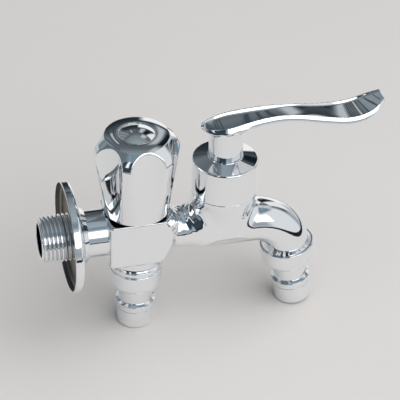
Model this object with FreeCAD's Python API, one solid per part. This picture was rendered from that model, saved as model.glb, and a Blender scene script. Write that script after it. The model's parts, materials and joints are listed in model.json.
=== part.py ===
import FreeCAD, Part
import math
import os

# Double outlet tap: a wall tap with two valves in line on one casting. The knob valve feeds the
# outlet straight below it, and the lever valve feeds the spout. All sizes are millimetres.
# The origin is on the inlet axis in the wall plane, +X points along the spout and +Z is up.

Vector = FreeCAD.Vector
UP = Vector(0, 0, 1)
ALONG = Vector(1, 0, 0)
ACROSS = Vector(0, 1, 0)

# How far a cutter runs past the face it opens
overrun = 1.0

# Layout along the inlet axis; the spout's reach is from the lever valve's axis to its outlet
knob_valve_x = 31.3
lever_valve_spacing = 39.1
spout_reach = 30.6
spout_tilt = 8.9
neck_z = -2.65

# Half-inch pipe thread, on the inlet and on both outlets
thread_radius = 10.4775
thread_core_radius = 9.3155
thread_pitch = 1.814
inlet_thread_length = 11.5
thread_run_in = 6.0
thread_chamfer = 1.1
thread_crest_flat = 0.12
thread_root_flat = 0.1
thread_cutter_margin = 0.3

# Inlet pipe and wall flange
pipe_radius = 10.4
inlet_bore_radius = 7.5
flange_radius = 24.25
flange_band = 2.0
flange_corner = 3.3
flange_sheet = 1.0
flange_crown = 0.7
flange_clearance = 0.22
flange_collar_length = 2.4

# Casting round the knob valve
block_left = 13.9
block_half_width = 11.5
block_top_z = 9.5
block_bottom_z = -12.7
block_edge = 2.1
block_round_radius = 16.6
block_cone_reach = 15.4
block_cone_small_radius = 9.6
block_cone_angle = 48.0
outlet_relief_radius = 10.8
outlet_relief_length = 4.8
outlet_collar_radius = 11.5
outlet_collar_length = 1.7
spigot_length = 4.5
outlet_bore_radius = 5.6

# Casting round the lever valve and the spout
neck_radius = 8.95
neck_flare_start = 24.0
neck_flare_end = 34.0
spout_radius = 10.0
spout_z = -3.45
spout_bend_radius = 17.6
spout_bore_radius = 6.2
boss_radius = 14.45
boss_top_z = 15.7
boss_straight = 3.6
boss_shoulder_radius = 14.0
neck_bore_radius = 4.2
neck_bore_z = -4.6
crossover_radius = 2.8
crossover_inset = 1.5
partition_wall = 2.4

# Headwork thread, the same in both valves
headwork_radius = 8.331

# Knob valve: seat, washer and rising carrier
seat_z = -4.0
seat_bore_radius = 4.6
seat_rim_radius = 6.2
seat_web = 1.5
chamber_floor_z = -8.0
tap_washer_radius = 6.0
tap_washer_thickness = 3.5
washer_hole_radius = 1.6
washer_screw_head_radius = 3.0
washer_screw_head_height = 1.4
washer_screw_slot_width = 0.7
washer_screw_slot_depth = 0.6
carrier_radius = 6.4
carrier_disc = 2.5
carrier_hole_floor = 0.4
carrier_screw_cover = 0.5
carrier_hex = 8.6
carrier_top_z = 17.0
carrier_screw_radius = 2.6
valve_lift = 4.4
spindle_tip_gap = 1.0
stem_gap = 0.6
slide_clearance = 0.25
run_clearance = 0.08

# Knob valve: bonnet and spindle
bonnet_bottom_z = 4.0
bonnet_washer_radius = 10.6
bonnet_washer_thickness = 1.0
bonnet_hex = 20.0
bonnet_hex_height = 5.0
bonnet_tube_radius = 7.8
bonnet_top_z = 33.8

# Spindles, the same in both valves
shaft_radius = 3.6
spindle_collar_height = 2.4
spindle_drive_square = 5.6
o_ring_section = 0.85
o_ring_bite = 0.55
circlip_radius = 5.2
circlip_thickness = 0.8
circlip_gap = 2.0
end_float = 0.12
lower_ring_share = 0.35
upper_ring_share = 0.65

# Knob
knob_bottom_gap = 1.7
knob_bottom_radius = 14.3
knob_shoulder_centre_radius = 11.3
knob_shoulder_drop = 7.9
knob_shoulder_round = 7.5
knob_face_radius = 13.8
knob_face_z = 48.9
knob_face_rise = 0.55
knob_face_bulge = 0.25
knob_flute_depth_radius = 14.2
knob_flute_cutter = 11.5
knob_flutes = 6
knob_turn = 4.0
knob_wall = 2.0
knob_top_thickness = 5.9
knob_hub_radius = 6.5
knob_hub_gap = 1.8
index_cap_radius = 8.3
index_cap_proud = 0.1
index_cap_crown = 2.3
index_cap_edge = 0.6
index_cap_thickness = 3.12
cap_clearance = 0.12
knob_screw_radius = 2.0
knob_screw_head_radius = 3.4
knob_screw_head_height = 1.8
knob_screw_length = 7.0
knob_screw_slot_width = 1.0
knob_screw_cover = 0.2
knob_web = 1.6

# Lever valve: quarter-turn cartridge with two ceramic discs
cartridge_seat_z = 0.5
cartridge_seal_thickness = 1.8
cartridge_seal_bore_radius = 4.5
cartridge_barrel_radius = 7.7
cartridge_bore_radius = 6.7
gallery_radius = 8.9
disc_radius = 6.55
disc_thickness = 2.8
disc_port_inner = 1.6
disc_port_outer = 5.4
disc_port_angle = 84.0
disc_slot_depth = 0.8
window_height = 3.6
window_width = 6.0
drive_bar_width = 4.0
drive_bar_height = 4.8
drive_bar_inset = 0.8
drive_flange_height = 2.0
glide_washer_thickness = 0.5
cartridge_hex = 22.0
cartridge_hex_height = 5.8
cartridge_neck_radius = 6.2
cartridge_neck_top_z = 31.0

# Cup turned down over the cartridge, its roof a shallow cone, and the collar nut that holds it
cup_rim_z = 31.3
cup_wall = 1.0
cup_rim_edge = 0.35
cup_roof_z = 33.0
cup_roof_thickness = 1.2
cup_seat_radius = 7.9
cup_hole_clearance = 0.15
collar_nut_radius = 7.6
collar_nut_body_radius = 7.0
collar_nut_flange = 0.4

# Lever handle, its lengths measured from the lever valve's axis and its rises from its hub's top
lever_hub_radius = 7.45
lever_hub_gap = 0.2
lever_hub_height = 13.4
lever_socket_depth = 9.6
lever_socket_end_gap = 0.3
lever_square = 5.6
lever_heel = 11.4
lever_reach = 70.0
lever_head_half_width = 6.9
lever_waist_half_width = 5.5
lever_blade_half_width = 8.0
lever_root_rise = 3.6
lever_crest_rise = 5.5
lever_dip_rise = 2.2
lever_tip_rise = 8.6
lever_waist_thickness = 3.5
lever_blade_thickness = 5.1
lever_head_thickness = 4.4
lever_tip_thickness = 1.4
lever_dish_share = 0.3
lever_side_share = 0.6
lever_belly_share = 1.25
grub_screw_radius = 2.0
grub_screw_length = 3.2
grub_screw_z = 37.6
grub_key_radius = 1.0
grub_key_depth = 1.1

# Outlet nozzle, measured down from the top face of its union nut
union_radius = 12.3
union_chamfer = 0.7
union_straight = 8.2
union_bulge = 1.2
union_length = 10.4
union_lip_radius = 8.5
union_shoulder = 8.7
gasket_thickness = 2.0
gasket_bore_radius = 6.6
strainer_thickness = 0.7
strainer_hole_radius = 0.75
strainer_hole_pitch = 2.2
strainer_rings = 2
nipple_flange_radius = 10.2
nipple_neck_top_radius = 7.9
nipple_neck_radius = 7.3
nipple_neck_end = 18.3
nipple_rim_radius = 8.9
nipple_rim_depth = 19.6
nipple_rim_round = 0.45
nipple_body_radius = 8.45
nipple_seam_depth = 22.8
nipple_spigot_radius = 6.3
nipple_bore_radius = 4.6
nozzle_length = 31.35
sleeve_round = 1.0
neck_clearance = 0.15

# Places that follow from the sizes above
lever_valve_x = knob_valve_x + lever_valve_spacing
spout_outlet_x = lever_valve_x + spout_reach
drop_outlet_z = block_bottom_z - outlet_relief_length - outlet_collar_length
stand_z = drop_outlet_z - nozzle_length
tilt = math.radians(spout_tilt)
edge_radius = nipple_body_radius - sleeve_round
edge_depth = nozzle_length - sleeve_round
spout_outlet_z = stand_z + sleeve_round + edge_depth * math.cos(tilt) + edge_radius * math.sin(tilt)
washer_top_z = seat_z + tap_washer_thickness
carrier_disc_top_z = washer_top_z + carrier_disc
spindle_tip_z = carrier_disc_top_z + valve_lift + spindle_tip_gap
spindle_collar_radius = carrier_hex / 2 - run_clearance
collar_bottom_z = carrier_top_z + valve_lift + stem_gap
collar_top_z = collar_bottom_z + spindle_collar_height
bonnet_seat_z = block_top_z + bonnet_washer_thickness
bonnet_hex_top_z = bonnet_seat_z + bonnet_hex_height
knob_bottom_z = block_top_z + knob_bottom_gap
knob_hub_bottom_z = bonnet_top_z + knob_hub_gap
knob_roof_z = knob_face_z - knob_top_thickness
knob_shoulder_centre_z = knob_face_z - knob_shoulder_drop
knob_face_inner_z = knob_face_z + knob_face_rise
index_cap_z = knob_face_inner_z + index_cap_proud
cap_pocket_z = index_cap_z - index_cap_thickness
knob_screw_seat_z = cap_pocket_z - knob_screw_head_height - knob_screw_cover
spindle_top_z = knob_screw_seat_z - knob_web
disc_bottom_z = cartridge_seat_z + cartridge_seal_thickness
disc_meet_z = disc_bottom_z + disc_thickness
disc_top_z = disc_meet_z + disc_thickness
drive_bar_bottom_z = disc_top_z - disc_slot_depth
drive_flange_bottom_z = drive_bar_bottom_z + drive_bar_height
drive_flange_top_z = drive_flange_bottom_z + drive_flange_height
cartridge_ceiling_z = drive_flange_top_z + glide_washer_thickness
cartridge_hex_top_z = boss_top_z + cartridge_hex_height
collar_nut_top_z = cup_roof_z + collar_nut_flange
lever_hub_bottom_z = collar_nut_top_z + lever_hub_gap
lever_hub_top_z = lever_hub_bottom_z + lever_hub_height
lever_root_z = lever_hub_top_z + lever_root_rise
lever_crest_z = lever_hub_top_z + lever_crest_rise
lever_dip_z = lever_hub_top_z + lever_dip_rise
lever_tip_z = lever_hub_top_z + lever_tip_rise
lever_spindle_top_z = lever_hub_bottom_z + lever_socket_depth - lever_socket_end_gap
cup_inner_radius = boss_radius - cup_wall
strainer_depth = spigot_length + gasket_thickness
nipple_flange_depth = strainer_depth + strainer_thickness


def rod(radius, bottom, top, x=0.0):
    """Upright cylinder between two heights."""
    return Part.makeCylinder(radius, top - bottom, Vector(x, 0, bottom), UP)


def tube(outer, inner, bottom, top, x=0.0):
    """Upright ring between two heights."""
    return rod(outer, bottom, top, x).cut(rod(inner, bottom - overrun, top + overrun, x))


def bar(radius, start, end, z=0.0):
    """Cylinder along X between two distances from the wall."""
    return Part.makeCylinder(radius, end - start, Vector(start, 0, z), ALONG)


def prism(across_flats, bottom, top, x=0.0, sides=6):
    """Upright prism of so many sides, with flats facing the front and the back."""
    corner = across_flats / 2 / math.cos(math.pi / sides)
    turns = [2 * math.pi * (k + 0.5 * (sides == 4)) / sides for k in range(sides + 1)]
    points = [Vector(x + corner * math.cos(a), corner * math.sin(a), bottom) for a in turns]
    return Part.Face(Part.makePolygon(points)).extrude(Vector(0, 0, top - bottom))


def square_end(across_flats, bottom, top, x=0.0):
    """Square end of a shaft, its corners rounded off by the shaft itself."""
    return prism(across_flats, bottom, top, x, 4).common(rod(shaft_radius, bottom, top, x))


def box_at(x_size, y_size, bottom, top, x=0.0):
    """Upright box centred on the X axis at x."""
    corner = Vector(x - x_size / 2, -y_size / 2, bottom)
    return Part.makeBox(x_size, y_size, top - bottom, corner)


def outline(points):
    """Edges through radius and height points; one with 4 numbers is reached by an arc through its middle."""
    edges = []
    place = Vector(points[0][0], 0, points[0][1])
    for point in points[1:] + points[:1]:
        end = Vector(point[-2], 0, point[-1])
        if len(point) == 4:
            edges.append(Part.Arc(place, Vector(point[0], 0, point[1]), end).toShape())
        elif (end - place).Length > 1e-6:
            edges.append(Part.LineSegment(place, end).toShape())
        place = end
    return edges


def turned(points, x=0.0):
    """Solid turned about an upright axis at x from an outline of radius and height points."""
    face = Part.Face(Part.Wire(outline(points)))
    solid = face.revolve(Vector(0, 0, 0), UP, 360)
    solid.translate(Vector(x, 0, 0))
    return solid


def laid_along_inlet(solid):
    """Turns a solid made about the upright axis so that its up is along +X."""
    solid.rotate(Vector(0, 0, 0), ACROSS, 90)
    return solid


def arc_middle(centre, radius, first, last):
    """Point half way round an arc, by its two end angles in degrees."""
    angle = math.radians((first + last) / 2)
    return centre[0] + radius * math.cos(angle), centre[1] + radius * math.sin(angle)


def o_ring(mean_radius, z, x, section=o_ring_section):
    return Part.makeTorus(mean_radius, section, Vector(x, 0, z), UP)


def circlip(z, groove_radius, x):
    """Open spring ring that sits in a groove round a spindle."""
    top = z + circlip_thickness
    ring = tube(circlip_radius, groove_radius, z, top, x)
    gap = box_at(circlip_radius * 2, circlip_gap, z - overrun, top + overrun, x + circlip_radius)
    return ring.cut(gap)


def thread_groove(start, end):
    """Helical V groove of the pipe thread along X, cut from the outside."""
    depth = thread_radius - thread_core_radius
    height = end - start
    helix = Part.makeHelix(thread_pitch, height, thread_core_radius)
    half_in = thread_root_flat / 2
    slope = (thread_pitch / 2 - thread_crest_flat / 2) / depth
    reach = depth + thread_cutter_margin
    half_out = slope * reach
    points = [
        Vector(thread_core_radius, 0, -half_in),
        Vector(thread_core_radius + reach, 0, -half_out),
        Vector(thread_core_radius + reach, 0, half_out),
        Vector(thread_core_radius, 0, half_in),
        Vector(thread_core_radius, 0, -half_in),
    ]
    groove = Part.Wire(helix).makePipeShell([Part.makePolygon(points)], True, True)
    groove.translate(Vector(0, 0, start))
    return laid_along_inlet(groove)


def inlet_pipe():
    """Threaded end with a chamfer at its mouth, then plain pipe into the block."""
    tip = -inlet_thread_length
    threaded = turned([
        (0, tip),
        (thread_radius - thread_chamfer, tip),
        (thread_radius, tip + thread_chamfer),
        (thread_radius, thread_run_in),
        (0, thread_run_in),
    ])
    pipe = bar(pipe_radius, thread_run_in, knob_valve_x - block_left + overrun)
    return laid_along_inlet(threaded).fuse(pipe)


def valve_block():
    """Block turned about the inlet axis, with a cone towards the spout, then milled flat on four sides."""
    cone_run = (block_round_radius - block_cone_small_radius) / math.tan(math.radians(block_cone_angle))
    turned_blank = laid_along_inlet(turned([
        (0, -block_left),
        (block_round_radius - block_edge, -block_left),
        (block_round_radius, block_edge - block_left),
        (block_round_radius, block_cone_reach - cone_run),
        (block_cone_small_radius, block_cone_reach),
        (0, block_cone_reach),
    ]))
    length = block_left + block_cone_reach
    height = block_top_z - block_bottom_z
    flats = Part.makeBox(length, 2 * block_half_width, height,
                         Vector(-block_left, -block_half_width, block_bottom_z))
    corners = [e for e in flats.Edges if abs(e.CenterOfMass.x + block_left) < 1e-6]
    block = turned_blank.common(flats.makeFillet(block_edge, corners))
    block.translate(Vector(knob_valve_x, 0, 0))
    return block


def drop_outlet():
    """Threaded outlet below the knob valve, with its relief and collar."""
    relief_z = block_bottom_z - outlet_relief_length
    relief = rod(outlet_relief_radius, relief_z, block_bottom_z + overrun, knob_valve_x)
    collar = rod(outlet_collar_radius, drop_outlet_z, relief_z, knob_valve_x)
    spigot = rod(thread_radius, drop_outlet_z - spigot_length, drop_outlet_z, knob_valve_x)
    return relief.fuse(collar).fuse(spigot)


def spout_run(radius, start, length_past_face):
    """Level run, bend and drop of the spout as one round bar of the given radius."""
    corner_x = spout_outlet_x - (spout_z - spout_outlet_z) * math.tan(tilt)
    turn = 90 - spout_tilt
    bend_start = corner_x - spout_bend_radius * math.tan(math.radians(turn) / 2)
    level = bar(radius, start, bend_start, spout_z)
    disc = Part.Face(Part.Wire(Part.makeCircle(radius, Vector(bend_start, 0, spout_z), ALONG)))
    bend_centre = Vector(bend_start, 0, spout_z - spout_bend_radius)
    bend = disc.revolve(bend_centre, ACROSS, turn)
    away = Vector(math.sin(tilt), 0, -math.cos(tilt))
    end = Vector(spout_outlet_x, 0, spout_outlet_z) + away * length_past_face
    bend_end = bend_centre + Vector(math.cos(tilt), 0, math.sin(tilt)) * spout_bend_radius
    drop = Part.makeCylinder(radius, (end - bend_end).Length, bend_end, away)
    return level.fuse(bend).fuse(drop)


def lever_boss():
    """Upright boss of the lever valve, flaring up from the spout tube."""
    return turned([
        (0, spout_z),
        (spout_radius, spout_z),
        (boss_shoulder_radius, boss_top_z - boss_straight),
        (boss_radius, boss_top_z - boss_straight / 2),
        (boss_radius, boss_top_z),
        (0, boss_top_z),
    ], lever_valve_x)


def neck():
    """Round neck between the valves, flaring to the spout's size."""
    flare_start = knob_valve_x + neck_flare_start
    flare_end = knob_valve_x + neck_flare_end
    plain = bar(neck_radius, knob_valve_x, flare_start, neck_z)
    small = Part.Wire(Part.makeCircle(neck_radius, Vector(flare_start, 0, neck_z), ALONG))
    large = Part.Wire(Part.makeCircle(spout_radius, Vector(flare_end, 0, spout_z), ALONG))
    return plain.fuse(Part.makeLoft([small, large], True, True))


def water_ways():
    """Everything that is hollow in the casting."""
    inlet = bar(inlet_bore_radius, -inlet_thread_length - overrun, knob_valve_x)
    chamber = rod(headwork_radius, chamber_floor_z, block_top_z + overrun, knob_valve_x)
    seat = tube(seat_rim_radius, seat_bore_radius, chamber_floor_z - overrun, seat_z, knob_valve_x)
    drop = rod(outlet_bore_radius, stand_z, chamber_floor_z - seat_web, knob_valve_x)
    seat_hole = rod(seat_bore_radius, chamber_floor_z - seat_web - overrun, seat_z + overrun, knob_valve_x)
    link = bar(neck_bore_radius, knob_valve_x, lever_valve_x, neck_bore_z)
    well = rod(neck_bore_radius, neck_bore_z - neck_bore_radius, cartridge_seat_z + overrun, lever_valve_x)
    thread_bottom = boss_top_z - boss_straight
    gallery = rod(gallery_radius, cartridge_seat_z, thread_bottom, lever_valve_x)
    headwork = rod(headwork_radius, cartridge_seat_z, boss_top_z + overrun, lever_valve_x)
    spout_start = lever_valve_x + neck_bore_radius + partition_wall + 2 * crossover_radius
    spout = spout_run(spout_bore_radius, spout_start, spigot_length + overrun)
    top_x = lever_valve_x + gallery_radius - crossover_inset
    top = Vector(top_x, 0, cartridge_seat_z + 2 * crossover_radius)
    foot = Vector(spout_start + crossover_radius, 0, spout_z)
    crossover = Part.makeCylinder(crossover_radius, (foot - top).Length, top, foot - top)
    upper = inlet.fuse(chamber).fuse(link).cut(seat)
    lower = seat_hole.fuse(drop)
    return [upper.fuse(lower), well, gallery, headwork, spout, crossover]


def main_body():
    """The chromed casting in one piece."""
    away = Vector(math.sin(tilt), 0, -math.cos(tilt))
    spigot = Part.makeCylinder(thread_radius, spigot_length,
                               Vector(spout_outlet_x, 0, spout_outlet_z), away)
    body = inlet_pipe().fuse(valve_block()).fuse(drop_outlet()).fuse(neck())
    body = body.fuse(spout_run(spout_radius, knob_valve_x + neck_flare_end, 0))
    body = body.fuse(lever_boss()).fuse(spigot)
    for hollow in water_ways():
        body = body.cut(hollow)
    return body.cut(thread_groove(-inlet_thread_length - thread_pitch, thread_run_in - thread_pitch))


def wall_flange():
    """Pressed sheet rosette, hollow towards the wall, sliding on the pipe."""
    bore = max(pipe_radius, thread_radius) + flange_clearance
    front = flange_band + flange_corner
    crown = front + flange_crown
    collar = bore + flange_sheet
    outer_arc = arc_middle((flange_radius - flange_corner, flange_band), flange_corner, 0, 90)
    inner_round = flange_corner - flange_sheet
    inner_arc = arc_middle((flange_radius - flange_corner, flange_band), inner_round, 0, 90)
    ring = turned([
        (flange_radius, 0),
        (flange_radius, flange_band),
        (*outer_arc, flange_radius - flange_corner, front),
        (collar + flange_crown, crown),
        (collar, crown + flange_collar_length),
        (bore, crown + flange_collar_length),
        (bore, crown - flange_sheet),
        (collar + flange_crown, crown - flange_sheet),
        (flange_radius - flange_corner, flange_band + inner_round),
        (*inner_arc, flange_radius - flange_sheet, flange_band),
        (flange_radius - flange_sheet, 0),
    ])
    return laid_along_inlet(ring)


def headwork_bonnet():
    """Brass bonnet of the knob valve: threaded barrel, hexagon and spindle tube."""
    barrel = rod(headwork_radius, bonnet_bottom_z, bonnet_seat_z, knob_valve_x)
    hexagon = prism(bonnet_hex, bonnet_seat_z, bonnet_hex_top_z, knob_valve_x)
    stem = rod(bonnet_tube_radius, bonnet_hex_top_z, bonnet_top_z, knob_valve_x)
    bonnet = barrel.fuse(hexagon).fuse(stem)
    disc_room = rod(carrier_radius + slide_clearance, bonnet_bottom_z - overrun,
                    carrier_disc_top_z + valve_lift + slide_clearance, knob_valve_x)
    guide = prism(carrier_hex + 2 * slide_clearance, bonnet_bottom_z, collar_bottom_z, knob_valve_x)
    collar_room = rod(carrier_hex / 2, collar_bottom_z - overrun, collar_top_z + end_float, knob_valve_x)
    shaft_hole = rod(shaft_radius + run_clearance, collar_top_z, bonnet_top_z + overrun, knob_valve_x)
    return bonnet.cut(disc_room).cut(guide).cut(collar_room).cut(shaft_hole)


def bonnet_seal_washer():
    return tube(bonnet_washer_radius, headwork_radius, block_top_z, bonnet_seat_z, knob_valve_x)


def ring_heights(bottom, top):
    """Heights of the two sealing rings in a shaft's bore."""
    return [bottom + (top - bottom) * share for share in (lower_ring_share, upper_ring_share)]


def shaft_seals(bottom, top, x):
    """Two rubber rings in grooves of the shaft, trimmed where the bore squeezes them."""
    limit = rod(shaft_radius + run_clearance / 2, bottom, top, x)
    whole = [o_ring(shaft_radius - o_ring_bite, height, x) for height in ring_heights(bottom, top)]
    return Part.makeCompound([ring.common(limit) for ring in whole])


def grooved(shaft, bottom, top, x):
    """Cuts the two ring grooves, and the circlip's groove just above the bore's top, in a shaft."""
    for height in ring_heights(bottom, top):
        shaft = shaft.cut(o_ring(shaft_radius - o_ring_bite, height, x))
    clip_z = top + end_float
    clip_top = clip_z + circlip_thickness
    return shaft.cut(tube(shaft_radius + overrun, shaft_radius - o_ring_bite, clip_z, clip_top, x))


def knob_spindle():
    """Non-rising spindle: screw in the carrier, thrust collar, sealed shaft and square drive."""
    screw = rod(carrier_screw_radius - run_clearance, spindle_tip_z, collar_bottom_z, knob_valve_x)
    collar = rod(spindle_collar_radius, collar_bottom_z, collar_top_z, knob_valve_x)
    journal = rod(shaft_radius, collar_top_z, knob_hub_bottom_z, knob_valve_x)
    drive = square_end(spindle_drive_square, knob_hub_bottom_z, spindle_top_z, knob_valve_x)
    spindle = screw.fuse(collar).fuse(journal).fuse(drive)
    spindle = grooved(spindle, collar_top_z, bonnet_top_z, knob_valve_x)
    thread_bottom = knob_screw_seat_z - knob_screw_length
    return spindle.cut(rod(knob_screw_radius, thread_bottom, spindle_top_z + overrun, knob_valve_x))


def knob_spindle_seals():
    return shaft_seals(collar_top_z, bonnet_top_z, knob_valve_x)


def knob_circlip():
    return circlip(bonnet_top_z + end_float, shaft_radius - o_ring_bite, knob_valve_x)


def valve_carrier():
    """Hexagonal jumper that the spindle's screw lifts, with the washer plate below."""
    plate = rod(carrier_radius, washer_top_z, carrier_disc_top_z, knob_valve_x)
    stem = prism(carrier_hex, carrier_disc_top_z, carrier_top_z, knob_valve_x)
    screw_hole = rod(carrier_screw_radius, carrier_disc_top_z + carrier_hole_floor,
                     carrier_top_z + overrun, knob_valve_x)
    fixing = rod(washer_hole_radius, washer_top_z - overrun,
                 carrier_disc_top_z - carrier_screw_cover, knob_valve_x)
    return plate.fuse(stem).cut(screw_hole).cut(fixing)


def tap_washer():
    """Rubber washer that closes on the brass seat."""
    return tube(tap_washer_radius, washer_hole_radius, seat_z, washer_top_z, knob_valve_x)


def tap_washer_screw():
    """Screw from below that holds the washer to the carrier."""
    head_bottom = seat_z - washer_screw_head_height
    head = rod(washer_screw_head_radius, head_bottom, seat_z, knob_valve_x)
    shank = rod(washer_hole_radius, seat_z, carrier_disc_top_z - carrier_screw_cover, knob_valve_x)
    slot = box_at(3 * washer_screw_head_radius, washer_screw_slot_width, head_bottom - overrun,
                  head_bottom + washer_screw_slot_depth, knob_valve_x)
    return head.fuse(shank).cut(slot)


def knob_skin():
    """Outside of the knob before the flutes: a cone, a round shoulder and a slightly crowned face."""
    centre = (knob_shoulder_centre_radius, knob_shoulder_centre_z)
    gap = math.hypot(knob_bottom_radius - centre[0], knob_bottom_z - centre[1])
    lean = math.degrees(math.atan2(knob_bottom_z - centre[1], knob_bottom_radius - centre[0]))
    low = lean + math.degrees(math.acos(knob_shoulder_round / gap))
    high = math.degrees(math.acos((knob_face_radius - centre[0]) / knob_shoulder_round))
    foot = (centre[0] + knob_shoulder_round * math.cos(math.radians(low)),
            centre[1] + knob_shoulder_round * math.sin(math.radians(low)))
    crest = (knob_face_radius, centre[1] + knob_shoulder_round * math.sin(math.radians(high)))
    pocket_edge = (index_cap_radius + cap_clearance, knob_face_inner_z)
    middle = ((knob_face_radius + pocket_edge[0]) / 2, (knob_face_z + knob_face_inner_z) / 2 + knob_face_bulge)
    return [
        (0, knob_bottom_z),
        (knob_bottom_radius, knob_bottom_z),
        foot,
        (*arc_middle(centre, knob_shoulder_round, low, high), *crest),
        (knob_face_radius, knob_face_z),
        (*middle, *pocket_edge),
        (0, knob_face_inner_z),
    ]


def knob():
    """Hollow chromed knob with six flutes, a hub for the spindle and a pocket for its index cap."""
    shell = turned(knob_skin())
    for k in range(knob_flutes):
        angle = math.radians(knob_turn + (k + 0.5) * 360 / knob_flutes)
        reach = knob_flute_depth_radius + knob_flute_cutter
        place = Vector(reach * math.cos(angle), reach * math.sin(angle), knob_bottom_z - overrun)
        shell = shell.cut(Part.makeCylinder(knob_flute_cutter, knob_face_z, place, UP))
    inner = knob_bottom_radius - knob_wall
    cavity = tube(inner, knob_hub_radius, knob_hub_bottom_z, knob_roof_z)
    cavity = cavity.fuse(rod(inner, knob_bottom_z - overrun, knob_hub_bottom_z))
    pocket = rod(index_cap_radius + cap_clearance, cap_pocket_z, index_cap_z + overrun)
    counterbore = rod(knob_screw_head_radius + cap_clearance, knob_screw_seat_z, cap_pocket_z + overrun)
    hole = rod(knob_screw_radius + cap_clearance, spindle_top_z - overrun, knob_screw_seat_z + overrun)
    socket = square_end(spindle_drive_square, knob_hub_bottom_z - overrun, spindle_top_z)
    shell = shell.cut(cavity).cut(pocket).cut(counterbore).cut(hole).cut(socket)
    shell.translate(Vector(knob_valve_x, 0, 0))
    return shell


def knob_screw():
    """Screw under the cap that holds the knob down on the spindle."""
    head = rod(knob_screw_head_radius, knob_screw_seat_z,
               knob_screw_seat_z + knob_screw_head_height, knob_valve_x)
    shank = rod(knob_screw_radius, knob_screw_seat_z - knob_screw_length, knob_screw_seat_z, knob_valve_x)
    slot_z = knob_screw_seat_z + knob_screw_head_height / 2
    slot = box_at(3 * knob_screw_head_radius, knob_screw_slot_width, slot_z,
                  slot_z + knob_screw_head_height, knob_valve_x)
    return head.fuse(shank).cut(slot)


def knob_index_cap():
    """Plain polished cap with a raised edge and a crowned middle."""
    inner = index_cap_radius - index_cap_edge
    low = index_cap_z - index_cap_edge
    crown_radius = (inner ** 2 + index_cap_crown ** 2) / (2 * index_cap_crown)
    crown = Part.makeSphere(crown_radius, Vector(knob_valve_x, 0, low + index_cap_crown - crown_radius))
    crown = crown.common(rod(inner, low - index_cap_edge, index_cap_z + index_cap_crown, knob_valve_x))
    plate = rod(index_cap_radius, cap_pocket_z, low, knob_valve_x)
    rim = tube(index_cap_radius, inner, low, index_cap_z, knob_valve_x)
    return plate.fuse(rim).fuse(crown)


def cartridge_seal():
    """Rubber ring between the casting's seat and the cartridge."""
    return tube(cartridge_barrel_radius, cartridge_seal_bore_radius,
                cartridge_seat_z, disc_bottom_z, lever_valve_x)


def cartridge_body():
    """Brass cartridge of the lever valve, with side windows, thread, hexagon and neck."""
    barrel = rod(cartridge_barrel_radius, disc_bottom_z, boss_top_z, lever_valve_x)
    thread = rod(headwork_radius, boss_top_z - boss_straight, boss_top_z, lever_valve_x)
    hexagon = prism(cartridge_hex, boss_top_z, cartridge_hex_top_z, lever_valve_x)
    stem = rod(cartridge_neck_radius, cartridge_hex_top_z, cartridge_neck_top_z, lever_valve_x)
    body = barrel.fuse(thread).fuse(hexagon).fuse(stem)
    room = rod(cartridge_bore_radius, disc_bottom_z - overrun, cartridge_ceiling_z, lever_valve_x)
    shaft_hole = rod(shaft_radius + run_clearance, cartridge_ceiling_z - overrun,
                     cartridge_neck_top_z + overrun, lever_valve_x)
    window = box_at(3 * cartridge_barrel_radius, window_width, disc_top_z,
                    disc_top_z + window_height, lever_valve_x)
    return body.cut(room).cut(shaft_hole).cut(window)


def disc_ports(bottom, top, turn):
    """Two opposite sector openings of a ceramic disc."""
    ports = []
    for side in (0, 180):
        sector = Part.makeCylinder(disc_port_outer, top - bottom, Vector(0, 0, bottom), UP, disc_port_angle)
        sector = sector.cut(rod(disc_port_inner, bottom - overrun, top + overrun))
        sector.rotate(Vector(0, 0, 0), UP, side + turn - disc_port_angle / 2)
        sector.translate(Vector(lever_valve_x, 0, 0))
        ports.append(sector)
    return ports


def fixed_disc():
    """Lower ceramic disc, with its openings along the pipe."""
    disc = rod(cartridge_bore_radius, disc_bottom_z, disc_meet_z, lever_valve_x)
    for port in disc_ports(disc_bottom_z - overrun, disc_meet_z + overrun, 0):
        disc = disc.cut(port)
    return disc


def turning_disc():
    """Upper ceramic disc, a quarter turn away from the fixed one while the tap is shut."""
    disc = rod(disc_radius, disc_meet_z, disc_top_z, lever_valve_x)
    for port in disc_ports(disc_meet_z - overrun, disc_top_z + overrun, 90):
        disc = disc.cut(port)
    slot = box_at(3 * disc_radius, drive_bar_width, drive_bar_bottom_z, disc_top_z + overrun, lever_valve_x)
    return disc.cut(slot)


def cartridge_spindle():
    """Spindle of the lever valve: drive bar, thrust flange, sealed shaft and square."""
    thrust_radius = cartridge_bore_radius - run_clearance
    drive = box_at(2 * (thrust_radius - drive_bar_inset), drive_bar_width, drive_bar_bottom_z,
                   drive_flange_bottom_z, lever_valve_x)
    flange = rod(thrust_radius, drive_flange_bottom_z, drive_flange_top_z, lever_valve_x)
    journal = rod(shaft_radius, drive_flange_top_z, lever_hub_bottom_z, lever_valve_x)
    square = square_end(lever_square, lever_hub_bottom_z, lever_spindle_top_z, lever_valve_x)
    spindle = drive.fuse(flange).fuse(journal).fuse(square)
    return grooved(spindle, cartridge_ceiling_z, cartridge_neck_top_z, lever_valve_x)


def cartridge_spindle_seals():
    return shaft_seals(cartridge_ceiling_z, cartridge_neck_top_z, lever_valve_x)


def cartridge_circlip():
    return circlip(cartridge_neck_top_z + end_float, shaft_radius - o_ring_bite, lever_valve_x)


def glide_washer():
    """Thin plastic washer between the thrust flange and the cartridge's ceiling."""
    return tube(cartridge_bore_radius - run_clearance, shaft_radius + run_clearance,
                drive_flange_top_z, cartridge_ceiling_z, lever_valve_x)


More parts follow.
